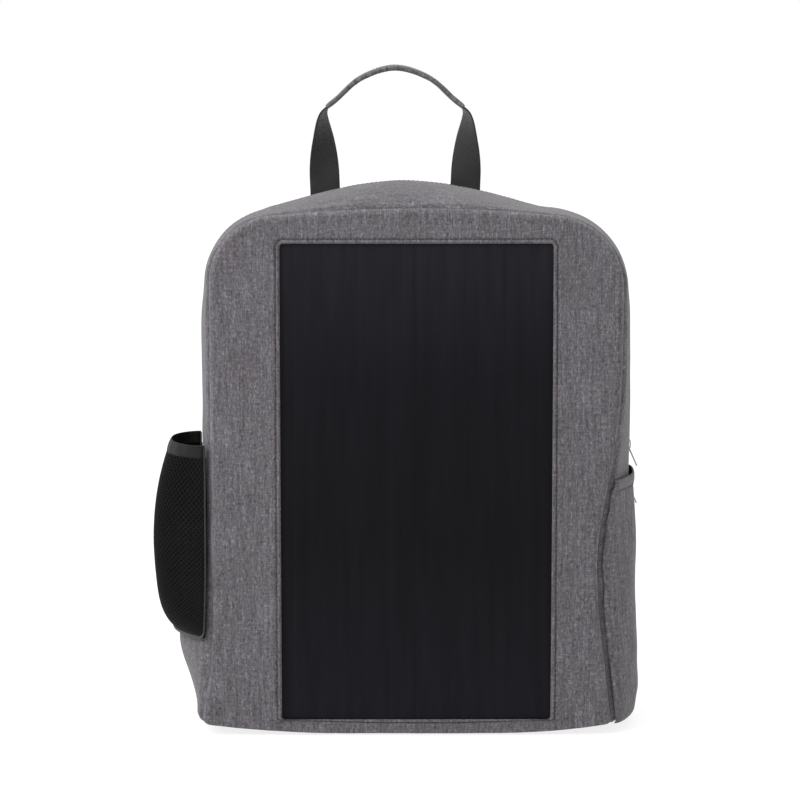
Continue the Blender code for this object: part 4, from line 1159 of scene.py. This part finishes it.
def puffed(name, source, material, body, node, pin, cap=0.005, pressure=4.0, voxel=0.0035):
    """A stuffed copy of a closed mesh: remeshed, blown up as cloth from its pinned points, then smoothed."""
    obj = add_piece(name, source, material)
    bpy.context.view_layer.objects.active = obj
    obj.select_set(True)
    remesh = obj.modifiers.new("Remesh", "REMESH")
    remesh.mode, remesh.voxel_size = "VOXEL", voxel
    bake_modifiers(obj)
    count = len(obj.data.vertices)
    before = np.empty(count * 3)
    obj.data.vertices.foreach_get("co", before)
    before = before.reshape(-1, 3)
    group = obj.vertex_groups.new(name="pinned")
    group.add([int(k) for k in np.nonzero(pin(before))[0]], 1.0, "REPLACE")
    cloth = obj.modifiers.new("Cloth", "CLOTH")
    settings = cloth.settings
    settings.quality, settings.mass = 5, 0.15
    settings.tension_stiffness = settings.compression_stiffness = 12
    settings.bending_stiffness = 0.4
    settings.use_pressure, settings.uniform_pressure_force = True, pressure
    settings.vertex_group_mass = "pinned"
    settings.effector_weights.gravity = 0
    cloth.point_cache.frame_start, cloth.point_cache.frame_end = 1, 20
    for number in range(1, 21):
        bpy.context.scene.frame_set(number)
    graph = bpy.context.evaluated_depsgraph_get()
    evaluated = obj.evaluated_get(graph)
    after = np.empty(count * 3)
    evaluated.data.vertices.foreach_get("co", after)
    obj.modifiers.clear()
    bpy.context.scene.frame_set(1)
    shift = after.reshape(-1, 3) - before
    size = np.linalg.norm(shift, axis=1, keepdims=True)
    after = before + shift * np.minimum(1, cap / np.maximum(size, 1e-9))
    obj.data.vertices.foreach_set("co", after.astype(np.float32).ravel())
    obj.data.shade_smooth()
    obj.select_set(False)
    if not obj.data.materials:
        obj.data.materials.append(material)
    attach(obj, body)
    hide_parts(node)
    return obj


def press(obj, depth_of, direction):
    """Pushes sewn channels into a padded piece. depth_of gives each point's depth along direction."""
    points = np.array([v.co for v in obj.data.vertices])
    moved = points + np.asarray(direction) * depth_of(points)[:, None]
    obj.data.vertices.foreach_set("co", moved.astype(np.float32).ravel())


def loft_mesh(name, rings):
    return grid_mesh(name, np.asarray(rings), around=True, weave=False, caps=True)


def pad_mesh(name, loop, front, back, edge=0.003):
    """A flat pad with rounded outer edges, as rings from its back to its front."""
    loop = np.asarray(loop)
    centre = loop.mean(axis=0)
    shrink = 1 - edge / np.abs(loop - centre).max(axis=0)
    inner = centre + (loop - centre) * shrink
    rings = []
    for shape, y in ((inner, front), (loop, front + 0.0004), (loop, back - edge), (inner, back)):
        rings.append(np.column_stack([shape[:, 0], np.full(len(shape), y), shape[:, 1]]))
    return loft_mesh(name, rings[::-1])


def back_cushion(name, loop, node, distance_to_channel):
    face = SEWN_FACE
    mesh = pad_mesh(name, loop, face + 0.0004, face + 0.0085)
    pad = puffed(name, mesh, SPACER, "back", node, lambda p: p[:, 1] < face + 0.0015)

    def channel(p):
        top = np.clip((p[:, 1] - face - 0.005) / 0.004, 0, 1)
        return CHANNEL_DEPTH * np.exp(-((distance_to_channel(p) / CHANNEL_WIDTH) ** 2)) * top

    press(pad, channel, (0, -1, 0))
    soften(pad)


def make_back_pads():
    spacing, start, slope = 0.036, 0.148, 0.35

    def to_slanted(p):
        lane = (p[:, 2] - start + slope * abs(abs(p[:, 0]) - PAD_X)) / spacing
        return abs(lane - np.round(lane)) * spacing

    for side, sign in (("left", -1), ("right", 1)):
        loop = rounded_loop(0.0500, 0.130, 0.350, 0.018, 0.022, steps=(6, 4, 10, 4, 6))
        loop[:, 0] += sign * PAD_X
        back_cushion("back_pad_cushion_" + side, loop, "back_pad_" + side, to_slanted)
    loop = rounded_loop(0.103, 0.062, 0.114, 0.016, 0.016, steps=(12, 4, 4, 4, 12))
    back_cushion("lumbar_cushion", loop, "lumbar_pad", lambda p: abs(abs(p[:, 0]) - 0.035))


# The back.


def make_back():
    outer = rear_outline()
    outer[:, 1] = np.maximum(outer[:, 1], 0.0085)
    shares = np.concatenate([[0], np.linspace(0.1, 0.93, 22), [0.955, 0.972, 0.984, 0.992, 0.997, 1.0]])
    x, z = spread_rings(outer, shares)
    place = np.stack([x, z], -1)
    swelling = 0.0012 * np.clip((1 - shares) / 0.08, 0, 1)[None, :]
    waves = wobble(place, 0.05, 61) * 0.0005 + wobble(place, 0.015, 62) * 0.0002
    roll = np.interp(1 - shares, [0, 0.004, 0.012, 0.03], [0.0014, 0.0006, 0.0002, 0])[None, :]
    y = BACK_FACE - 0.0012 + swelling * 0.6 + waves * np.clip((1 - shares) / 0.05, 0, 1)[None] - roll
    points = np.stack([x, y, z], -1)[:, ::-1]
    mesh = grid_mesh("back_cloth", points, closed=True, weave=np.stack([x, z], -1)[:, ::-1])
    last, count = len(shares) - 1, len(shares)
    fill_middle(mesh, [k * count + last for k in range(LOOP)][::-1])
    back = add_piece("back_cloth", mesh, MELANGE, "back", "back_panel", "melange_cloth")
    thicken(back, 0.0010, LINING)
    path = np.column_stack([outer[:, 0] * 0.9985, np.full(LOOP, HALF_DEPTH + 0.0009), outer[:, 1]])
    start = RIM_START // 2
    tube("back_piping", path[start : LOOP - start + 1], 0.0013, BINDING, 10, body="back")
    make_yoke()
    for side, sign in (("left", -1), ("right", 1)):
        make_anchor(side, sign)
    make_hinge()


def spread_rings(outer, shares):
    """(x, z) of rings that grow from a small loop in the middle to the outer one."""
    centre = rounded_loop(0.03, 0.18, 0.26, 0.01, 0.01)
    flat = centre[:, None] + (outer - centre)[:, None] * shares[None, :, None]
    return flat[..., 0], flat[..., 1]


def make_yoke():
    steps = (10, 3, 8, 8, 10)
    top = SEWN_FACE + 0.0016
    yoke = rounded_loop(0.090, 0.362, 0.4115, 0.004, 0.012, steps=steps)
    rounded_plate(
        "strap_yoke_cloth", yoke, SEWN_FACE - 0.0006, top, 1, MELANGE_OBJECT, 0.0007,
        body="back", replaces="strap_yoke", slot="black_webbing",
    )
    inner = rounded_loop(0.0865, 0.3655, 0.4080, 0.003, 0.009, steps=steps)
    line = np.column_stack([inner[:, 0], np.full(len(inner), top), inner[:, 1]])
    stitches("yoke_stitching", closed_up(line), (0, 1, 0), DARK_THREAD, "back")


def make_anchor(side, sign):
    """The three-cornered tab that the lower webbing is sewn into."""
    corners = ((0.163, 0.018), (0.163, 0.054), (0.160, 0.0535), (0.1285, 0.021), (0.128, 0.018))
    seam_corners = ((0.1345, 0.0205), (0.1605, 0.0478), (0.1605, 0.0205), (0.1345, 0.0205))
    top = SEWN_FACE + 0.003
    rounded_plate(
        "strap_anchor_cloth_" + side, [(sign * x, z) for x, z in corners], SEWN_FACE - 0.0006, top, 1,
        MELANGE_OBJECT, 0.0008, body="back", replaces="strap_anchor_" + side, slot="melange_cloth",
    )
    seam = np.array([(sign * x, top, z) for x, z in seam_corners])
    stitches("anchor_stitching_" + side, resample(seam, 60), (0, 1, 0), DARK_THREAD, "back")


def make_hinge():
    """The cloth that bends along the base's rear edge, from the shell to the back."""
    half, end_rise = 0.1595, 0.006
    hinge = []
    for y, z in ((0.0585, 0.0022), (0.0640, 0.0020), (0.0675, 0.0040), (0.0695, 0.0085), (0.0701, 0.0150)):
        hinge.append([(x, y, z) for x in np.linspace(-half, half, 60)])
    points = np.transpose(np.array(hinge), (1, 0, 2))
    points[:, :, 2] += end_rise * (np.maximum(0, abs(points[:, :, 0]) - BASE_FLAT) / 0.097) ** 2
    mesh = grid_mesh("base_hinge_cloth", points)
    cloth = add_piece("base_hinge_cloth", mesh, BINDING, slot="black_webbing")
    thicken(cloth, 0.0009, offset=0.0)
    bake_modifiers(cloth)
    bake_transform(cloth)


def make_sleeve():
    """The laptop sleeve's padded pouch, with the closing strap and the foam's cover behind it."""
    front, back, low, high, half = 0.0362, 0.0600, 0.0247, 0.285, 0.1498
    x, z = np.meshgrid(np.linspace(-half, half, 90), np.linspace(low, high, 80), indexing="ij")
    ribs = abs(np.sin(x / 0.030 * math.pi)) ** 0.4
    quilt = 0.0009 * ribs * np.clip((high - 0.02 - z) / 0.01, 0, 1)
    y = front + 0.0011 - quilt + wobble(np.stack([x, z], -1), 0.04, 71) * 0.0004
    mesh = grid_mesh("sleeve", np.stack([x, y, z], -1))
    thicken(add_piece("laptop_sleeve_face", mesh, LINING, "back", "laptop_sleeve", "lining_cloth"), 0.0022)
    hem = spline([(x, front + 0.0008, high) for x in (-half, 0, half)], 60) - np.array([0, 0, 0.004])
    band_piece("laptop_sleeve_hem", hem, (0, 0, 1), 0.0060, 0.0016, BINDING, body="back")
    for name, sign in (("left", -1), ("right", 1)):
        rows, depth = np.linspace(low, high - 0.003, 50), np.linspace(front + 0.0012, back, 12)
        y, z = np.meshgrid(depth, rows, indexing="ij")
        bow = wobble(np.stack([y, z], -1), 0.02, 72) * 0.0005
        side = np.stack([sign * (half - 0.0004) + sign * bow, y, z], -1)
        mesh = grid_mesh("side", side)
        thicken(add_piece("laptop_sleeve_side_" + name, mesh, LINING, "back"), 0.0018, offset=0)
    x, y = np.meshgrid(np.linspace(-half, half, 60), np.linspace(front + 0.001, back, 10), indexing="ij")
    floor = np.stack([x, y, np.full_like(x, low + 0.0012)], -1)
    thicken(add_piece("laptop_sleeve_floor", grid_mesh("floor", floor), LINING, "back"), 0.0018, offset=0)
    make_closing_strap()
    make_foam_cover()


def make_closing_strap():
    strap = spline([(0, 0.0596, 0.3495), (0, 0.0594, 0.330), (0, 0.0590, 0.310), (0, 0.0594, 0.2905)], 30)
    band_piece(
        "laptop_closing_strap", strap, (1, 0, 0), 0.020, 0.0007, WEBBING_CLOTH,
        body="back", replaces="laptop_strap", slot="black_webbing",
    )
    box = crossed_box(0.016, 0.3370, 0.3470)[:-1]
    seam = resample(np.array([(x, 0.0588, z) for x, z in box]), 60)
    stitches("closing_strap_stitching", seam, (0, -1, 0), GREY_THREAD, "back")


def make_foam_cover():
    """The lining over the back's foam, quilted in squares."""
    inner = rear_outline(0.006)
    inner[:, 1] = np.maximum(inner[:, 1], 0.021)
    shares = np.concatenate([[0], np.linspace(0.06, 0.97, 26), [0.985, 0.994, 1.0]])
    x, z = spread_rings(inner, shares)
    square = 0.045
    lane_x, lane_z = abs((x / square) % 1 - 0.5) * 2, abs((z / square) % 1 - 0.5) * 2
    quilt = 0.0014 * (1 - np.maximum(lane_x, lane_z) ** 8) * np.clip((1 - shares) / 0.04, 0, 1)[None]
    roll = np.interp(1 - shares, [0, 0.006, 0.03], [0.0035, 0.0012, 0])[None]
    points = np.stack([x, 0.0620 - quilt + roll, z], -1)
    mesh = grid_mesh("foam_cover", points, closed=True)
    fill_middle(mesh, [k * len(shares) for k in range(LOOP)])
    thicken(add_piece("back_foam_cover", mesh, LINING, "back", "back_foam", "foam"), 0.0045)


# Shoulder straps, described on the right and mirrored for the left.

STRAP_ROUTE = (
    (0.048, 0.0738, 0.4036), (0.048, 0.0850, 0.4032), (0.052, 0.0955, 0.3930), (0.058, 0.1015, 0.3650),
    (0.070, 0.1040, 0.3100), (0.080, 0.1040, 0.2500), (0.086, 0.1025, 0.1900), (0.0895, 0.0990, 0.1400),
    (0.0905, 0.0965, 0.1180),
)
BUCKLE_PLACE = np.array([0.0905, 0.0960, 0.108])
# The webbing through the buckle, in (down, out) millimetres from it.
LOOP_PATH = (
    (-8.2, 1.3), (-4.0, 2.8), (1.5, 3.15), (4.6, 2.6), (5.6, 0.0), (4.6, -2.6), (1.5, -3.15), (-4.0, -2.8),
    (-8.2, -1.3),
)
TAIL_PATH = (
    (24.0, -5.4), (19.0, -4.7), (14.6, -3.0), (13.0, 0.0), (14.2, 2.9), (17.2, 3.2), (20.2, 2.9), (21.6, 0.0),
    (22.6, -2.6), (26.5, -3.2), (31.0, -2.4), (38.0, 1.0), (52.0, 3.5), (72.0, 5.0), (94.0, 4.5),
)
LOWER_ROUTE = (
    (0.0905, 0.0906, 0.0850), (0.0905, 0.0906, 0.0730), (0.0915, 0.0925, 0.0610), (0.0975, 0.0925, 0.0495),
    (0.1120, 0.0880, 0.0420), (0.1290, 0.0800, 0.0375), (0.1470, 0.0752, 0.0345),
)


def strap_half_width(share):
    wide = 0.031 - 0.004 * (1 - share) ** 3
    return wide - 0.012 * np.maximum(0, (share - 0.72) / 0.28) ** 1.5


def make_strap(side, sign):
    body = "strap_" + side
    flip = np.array([sign, 1, 1])
    steps = 60
    route = spline(STRAP_ROUTE, steps) * flip
    widths = strap_half_width(np.linspace(0, 1, steps + 1))
    across = (1, 0, 0)
    axis, out = band_axes(route, across)
    rings = band_points(route, across, widths - 0.0012, 0.0036)

    def near_edge(p):
        k = np.clip(np.searchsorted(-route[:, 2], -p[:, 2]), 0, steps)
        return (abs(p[:, 0] - route[k, 0]) > widths[k] - 0.005) | (p[:, 2] > 0.397) | (p[:, 2] < 0.1195)

    pad = puffed(
        "strap_cushion_" + side, loft_mesh("strap", rings), MELANGE_OBJECT, body,
        "strap_pad_" + side, near_edge, 0.004, 3.0, 0.0034,
    )
    soften(pad)

    band_piece(
        "strap_liner_mesh_" + side, route[19:59], across, widths[19:59] - 0.004, 0.0013, SPACER,
        offset=-0.0056, body=body, replaces="strap_liner_" + side, slot="black_mesh",
    )
    for edge, way in (("inner", -1), ("outer", 1)):
        path = route + axis * (widths * way)[:, None]
        band_piece(f"strap_binding_{edge}_{side}", path[2:59], out[2:59], 0.0034, 0.0011, BINDING, body=body)
        seam = route + axis * ((widths - 0.0042) * way)[:, None] + out * 0.0052
        stitches(f"strap_stitching_{edge}_{side}", seam[3:58], out[3:58], DARK_THREAD, body, lift=-0.0004)

    carry = route + out * 0.0058
    band_piece("strap_webbing_" + side, carry[10:59], across, WEBBING / 2, 0.0007, WEBBING_CLOTH, body=body)
    for low, high in ((11, 14), (54, 57)):
        corners = [carry[k] + axis[k] * w + out[k] * 0.0007 for w, k in crossed_box(0.009, low, high)]
        tack(f"strap_tack_{low}_{side}", corners, out[low], body)

    for name, path, count, node in (
        ("buckle_loop_", LOOP_PATH, 40, "strap_loop_"),
        ("strap_tail_webbing_", TAIL_PATH, 90, "strap_tail_"),
    ):
        points = np.array([BUCKLE_PLACE + (0, o / 1000, -d / 1000) for d, o in path]) * flip
        band_piece(
            name + side, spline(points, count), across, WEBBING / 2, WEBBING_THICK / 2, WEBBING_CLOTH,
            body=body, replaces=node + side, slot="black_webbing",
        )
    make_buckle(side, sign, body)

    lower = spline(LOWER_ROUTE, 60) * flip
    along = unit(np.gradient(lower, axis=0))
    level = np.cross(along, (0, 1, 0)) * -sign
    piece = band_piece(
        "lower_webbing_band_" + side, lower, level, WEBBING / 2, WEBBING_THICK / 2, WEBBING_CLOTH,
        replaces="lower_webbing_" + side, slot="black_webbing",
    )
    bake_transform(piece)


def make_buckle(side, sign, body):
    """A ladder lock: two side rails joined by four rounded bars, the last one turned up as a grip."""
    place = BUCKLE_PLACE * np.array([sign, 1, 1])
    pieces = []
    for way in (-1, 1):
        rail = spline([place + np.array([way * 0.0152, 0, -d]) for d in (0.0005, 0.009, 0.018, 0.0275)], 24)
        pieces.append(band_points(rail, (1, 0, 0), 0.0018, 0.0019))
    for top, foot, y, thick in (
        (0.0, 0.003, 0.0, 0.0019),
        (0.007, 0.0105, 0.0, 0.0015),
        (0.0155, 0.019, 0.0, 0.0017),
        (0.024, 0.028, 0.0006, 0.0019),
    ):
        middle = -(top + foot) / 2
        bar = np.array([place + np.array([x, y, middle]) for x in np.linspace(-0.0155, 0.0155, 16)])
        pieces.append(band_points(bar, (0, 0, 1), (foot - top) / 2, thick))
    bm = bmesh.new()
    for points in pieces:
        bm.from_mesh(loft_mesh("part", points))
    mesh = mesh_from(bm, "ladder_lock")
    add_piece("ladder_lock_moulding_" + side, mesh, PLASTIC, body, "ladder_lock_" + side, "black_plastic")


# The handle.

HANDLE_FOOT = ((0.0713, 0.4125), (0.0712, 0.4230), (0.0702, 0.4292))  # (y, z) up its sewn end
HANDLE_LEG = (  # (x, z) from there to the top
    (-0.0592, 0.4500), (-0.0598, 0.4730), (-0.0603, 0.4925), (-0.0570, 0.5010), (-0.0482, 0.5087),
    (-0.0282, 0.5258), (0.0, 0.5343),
)
GRIP_LENGTH, GRIP_HALF, GRIP_THICK, GRIP_STEPS = 0.125, 0.0153, 0.0021, 90


def make_handle():
    """The webbing, which turns from facing back at its feet to facing up under the grip."""
    left = [(HANDLE_X - HANDLE_HALF, y, z) for y, z in HANDLE_FOOT]
    left += [(HANDLE_X + x, HANDLE_Y, z) for x, z in HANDLE_LEG]
    right = [(2 * HANDLE_X - x, y, z) for x, y, z in reversed(left[:-1])]
    path = spline(left + right, 160)
    run = run_of(path)
    foot, grip = 0.030, 0.093
    from_end = np.minimum(run, run[-1] - run)
    share = np.clip((from_end - foot) / (grip - foot), 0, 1)
    turn = math.pi / 2 * share
    side = np.where(run < run[-1] / 2, 1.0, -1.0)
    across = np.stack([side * np.cos(turn), np.sin(turn), np.zeros_like(turn)], -1)
    points = band_points(path, across, WEBBING / 2, WEBBING_THICK / 2)
    mesh = band_mesh("handle", points, rounded_section(WEBBING / 2, WEBBING_THICK / 2), run)
    nodes = ("handle_webbing", "handle_end_left", "handle_end_right")
    webbing = add_piece("handle_webbing_band", mesh, WEBBING_CLOTH, None, nodes, "black_webbing")
    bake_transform(webbing)

    inside = from_end > grip - 0.004
    make_grip(resample(path[inside], GRIP_STEPS), unit(resample(across[inside], GRIP_STEPS)))
    for name, way in (("left", -1), ("right", 1)):
        x, y = HANDLE_X + way * HANDLE_HALF, HANDLE_FOOT[0][0] + WEBBING_THICK / 2
        corners = [(x + a, y, z) for a, z in crossed_box(0.009, 0.4145, 0.4240)]
        tack("handle_tack_" + name, corners, (0, 1, 0), "back")


def make_grip(path, across):
    """The cloth sleeve, pinched along its stitches and a little uneven."""
    axis, out = band_axes(path, across)
    rings = []
    for k, (point, a, o) in enumerate(zip(path, axis, out)):
        end = min(k, GRIP_STEPS - k) / GRIP_STEPS
        thick = GRIP_THICK + 0.0002 * noise.noise((k * 0.16, 3.1, 0.0)) - 0.0004 * math.exp(-end / 0.012)
        wide = GRIP_HALF + 0.0004 * noise.noise((k * 0.21, 9.4, 0.0))
        shape = rounded_section(wide, thick, 4)
        at = [0, wide * 0.78, wide * 0.84, wide * 0.90, wide]
        squeeze = np.interp(abs(shape[:, 0]), at, [1.05, 1.0, 0.80, 0.98, 1.0])
        crease = np.array([0.0001 * noise.noise((k * 0.33, s * 260, 5.0)) for s in shape[:, 0]])
        rings.append(point + a * shape[:, :1] + o * (shape[:, 1:] * squeeze[:, None] + crease[:, None]))
    flat = rounded_section(GRIP_HALF, GRIP_THICK, 4)
    mesh = band_mesh("grip", np.array(rings), flat, np.linspace(0, GRIP_LENGTH, GRIP_STEPS + 1))
    grip = add_piece("handle_grip_sleeve", mesh, MELANGE, "handle", "handle_grip", "melange_cloth")
    for name, way in (("front", -1), ("rear", 1)):
        for face, up in (("top", 1), ("low", -1)):
            seam = path + axis * (0.0127 * way) + up * out * 0.0016
            stitches(
                f"grip_stitching_{face}_{name}", seam[2:-2], up * out[2:-2], DARK_THREAD, "handle",
                0.0030, 0.0023, 0.00022,
            )


# What the CAD already shapes.


def paint_nodes():
    for material, names in (
        (CELLS, ("solar_cell_string_left", "solar_cell_string_right")),
        (BACKSHEET, ("solar_backsheet",)),
        (PLASTIC, ("bottom_board", "junction_box", "junction_box_lid", "lead_gland")),
        (PLASTIC, ("usb_box_base", "usb_box_lid", "usb_socket_tongue")),
        (LINING, ("front_lining", "usb_pocket")),
        (NICKEL, ("usb_socket_shell",)),
        (JACKET, ("panel_lead",)),
    ):
        for name in names:
            node = NODES[name]
            node.data.materials.clear()
            node.data.materials.append(material)
            if name != "front_lining":
                bevel_edges(node, 0.00008 if "solar" in name else 0.0004, 2, 50)


# The studio.


def make_studio():
    scene = bpy.context.scene
    scene.view_settings.view_transform = "Standard"
    world = bpy.data.worlds.new("studio")
    scene.world = world
    world.use_nodes = True
    background = world.node_tree.nodes["Background"]
    background.inputs["Color"].default_value = (1, 1, 1, 1)
    background.inputs["Strength"].default_value = 1.0

    floor = bpy.data.meshes.new("floor")
    corners = [(-6, -6, 0), (6, -6, 0), (6, 6, 0), (-6, 6, 0)]
    floor.from_pydata(corners, [], [(0, 1, 2, 3)])
    ground = bpy.data.objects.new("floor", floor)
    scene.collection.objects.link(ground)
    s = Shader("floor", roughness=0.9, specular_ior_level=0.05, emission_strength=0.80)
    s.principled.inputs["Base Color"].default_value = (0.25, 0.25, 0.25, 1)
    s.principled.inputs["Emission Color"].default_value = (1, 1, 1, 1)
    floor.materials.append(s.material)
    ground.location.z = -0.0002

    for name, place, size, energy in (
        ("key", (-1.35, -1.15, 1.5), 1.1, 31.0),
        ("fill", (1.9, -1.9, 0.9), 1.4, 0.5),
        ("top", (-0.3, 0.3, 2.2), 1.6, 16.0),
    ):
        lamp = bpy.data.lights.new(name, "AREA")
        lamp.size, lamp.energy = size, energy
        light = bpy.data.objects.new(name, lamp)
        scene.collection.objects.link(light)
        light.location = place
        light.rotation_euler = (Vector((0, 0, 0.25)) - Vector(place)).to_track_quat("-Z", "Y").to_euler()

    target = Vector((-0.0132, -0.070, 0.2755))
    distance, azimuth, elevation = 2.5, math.radians(-0.3), math.radians(8.5)
    level = math.cos(elevation)
    back = Vector((math.sin(azimuth) * level, -math.cos(azimuth) * level, math.sin(elevation)))
    lens = bpy.data.cameras.new("camera")
    lens.sensor_width = 36
    lens.lens = 36 * distance / 0.640
    camera = bpy.data.objects.new("camera", lens)
    scene.collection.objects.link(camera)
    camera.location = target + back * distance
    camera.rotation_mode = "QUATERNION"
    camera.rotation_quaternion = (-back).to_track_quat("-Z", "Y")
    scene.camera = camera


make_studio()
make_front()
make_gussets()
make_zip()
for slider_name, slider_height in SLIDER_HEIGHTS.items():
    make_slider(slider_name, slider_height)
make_mesh_pocket()
make_side_pocket()
make_back()
make_back_pads()
make_sleeve()
for strap_side, strap_sign in (("left", -1), ("right", 1)):
    make_strap(strap_side, strap_sign)
make_handle()
paint_nodes()
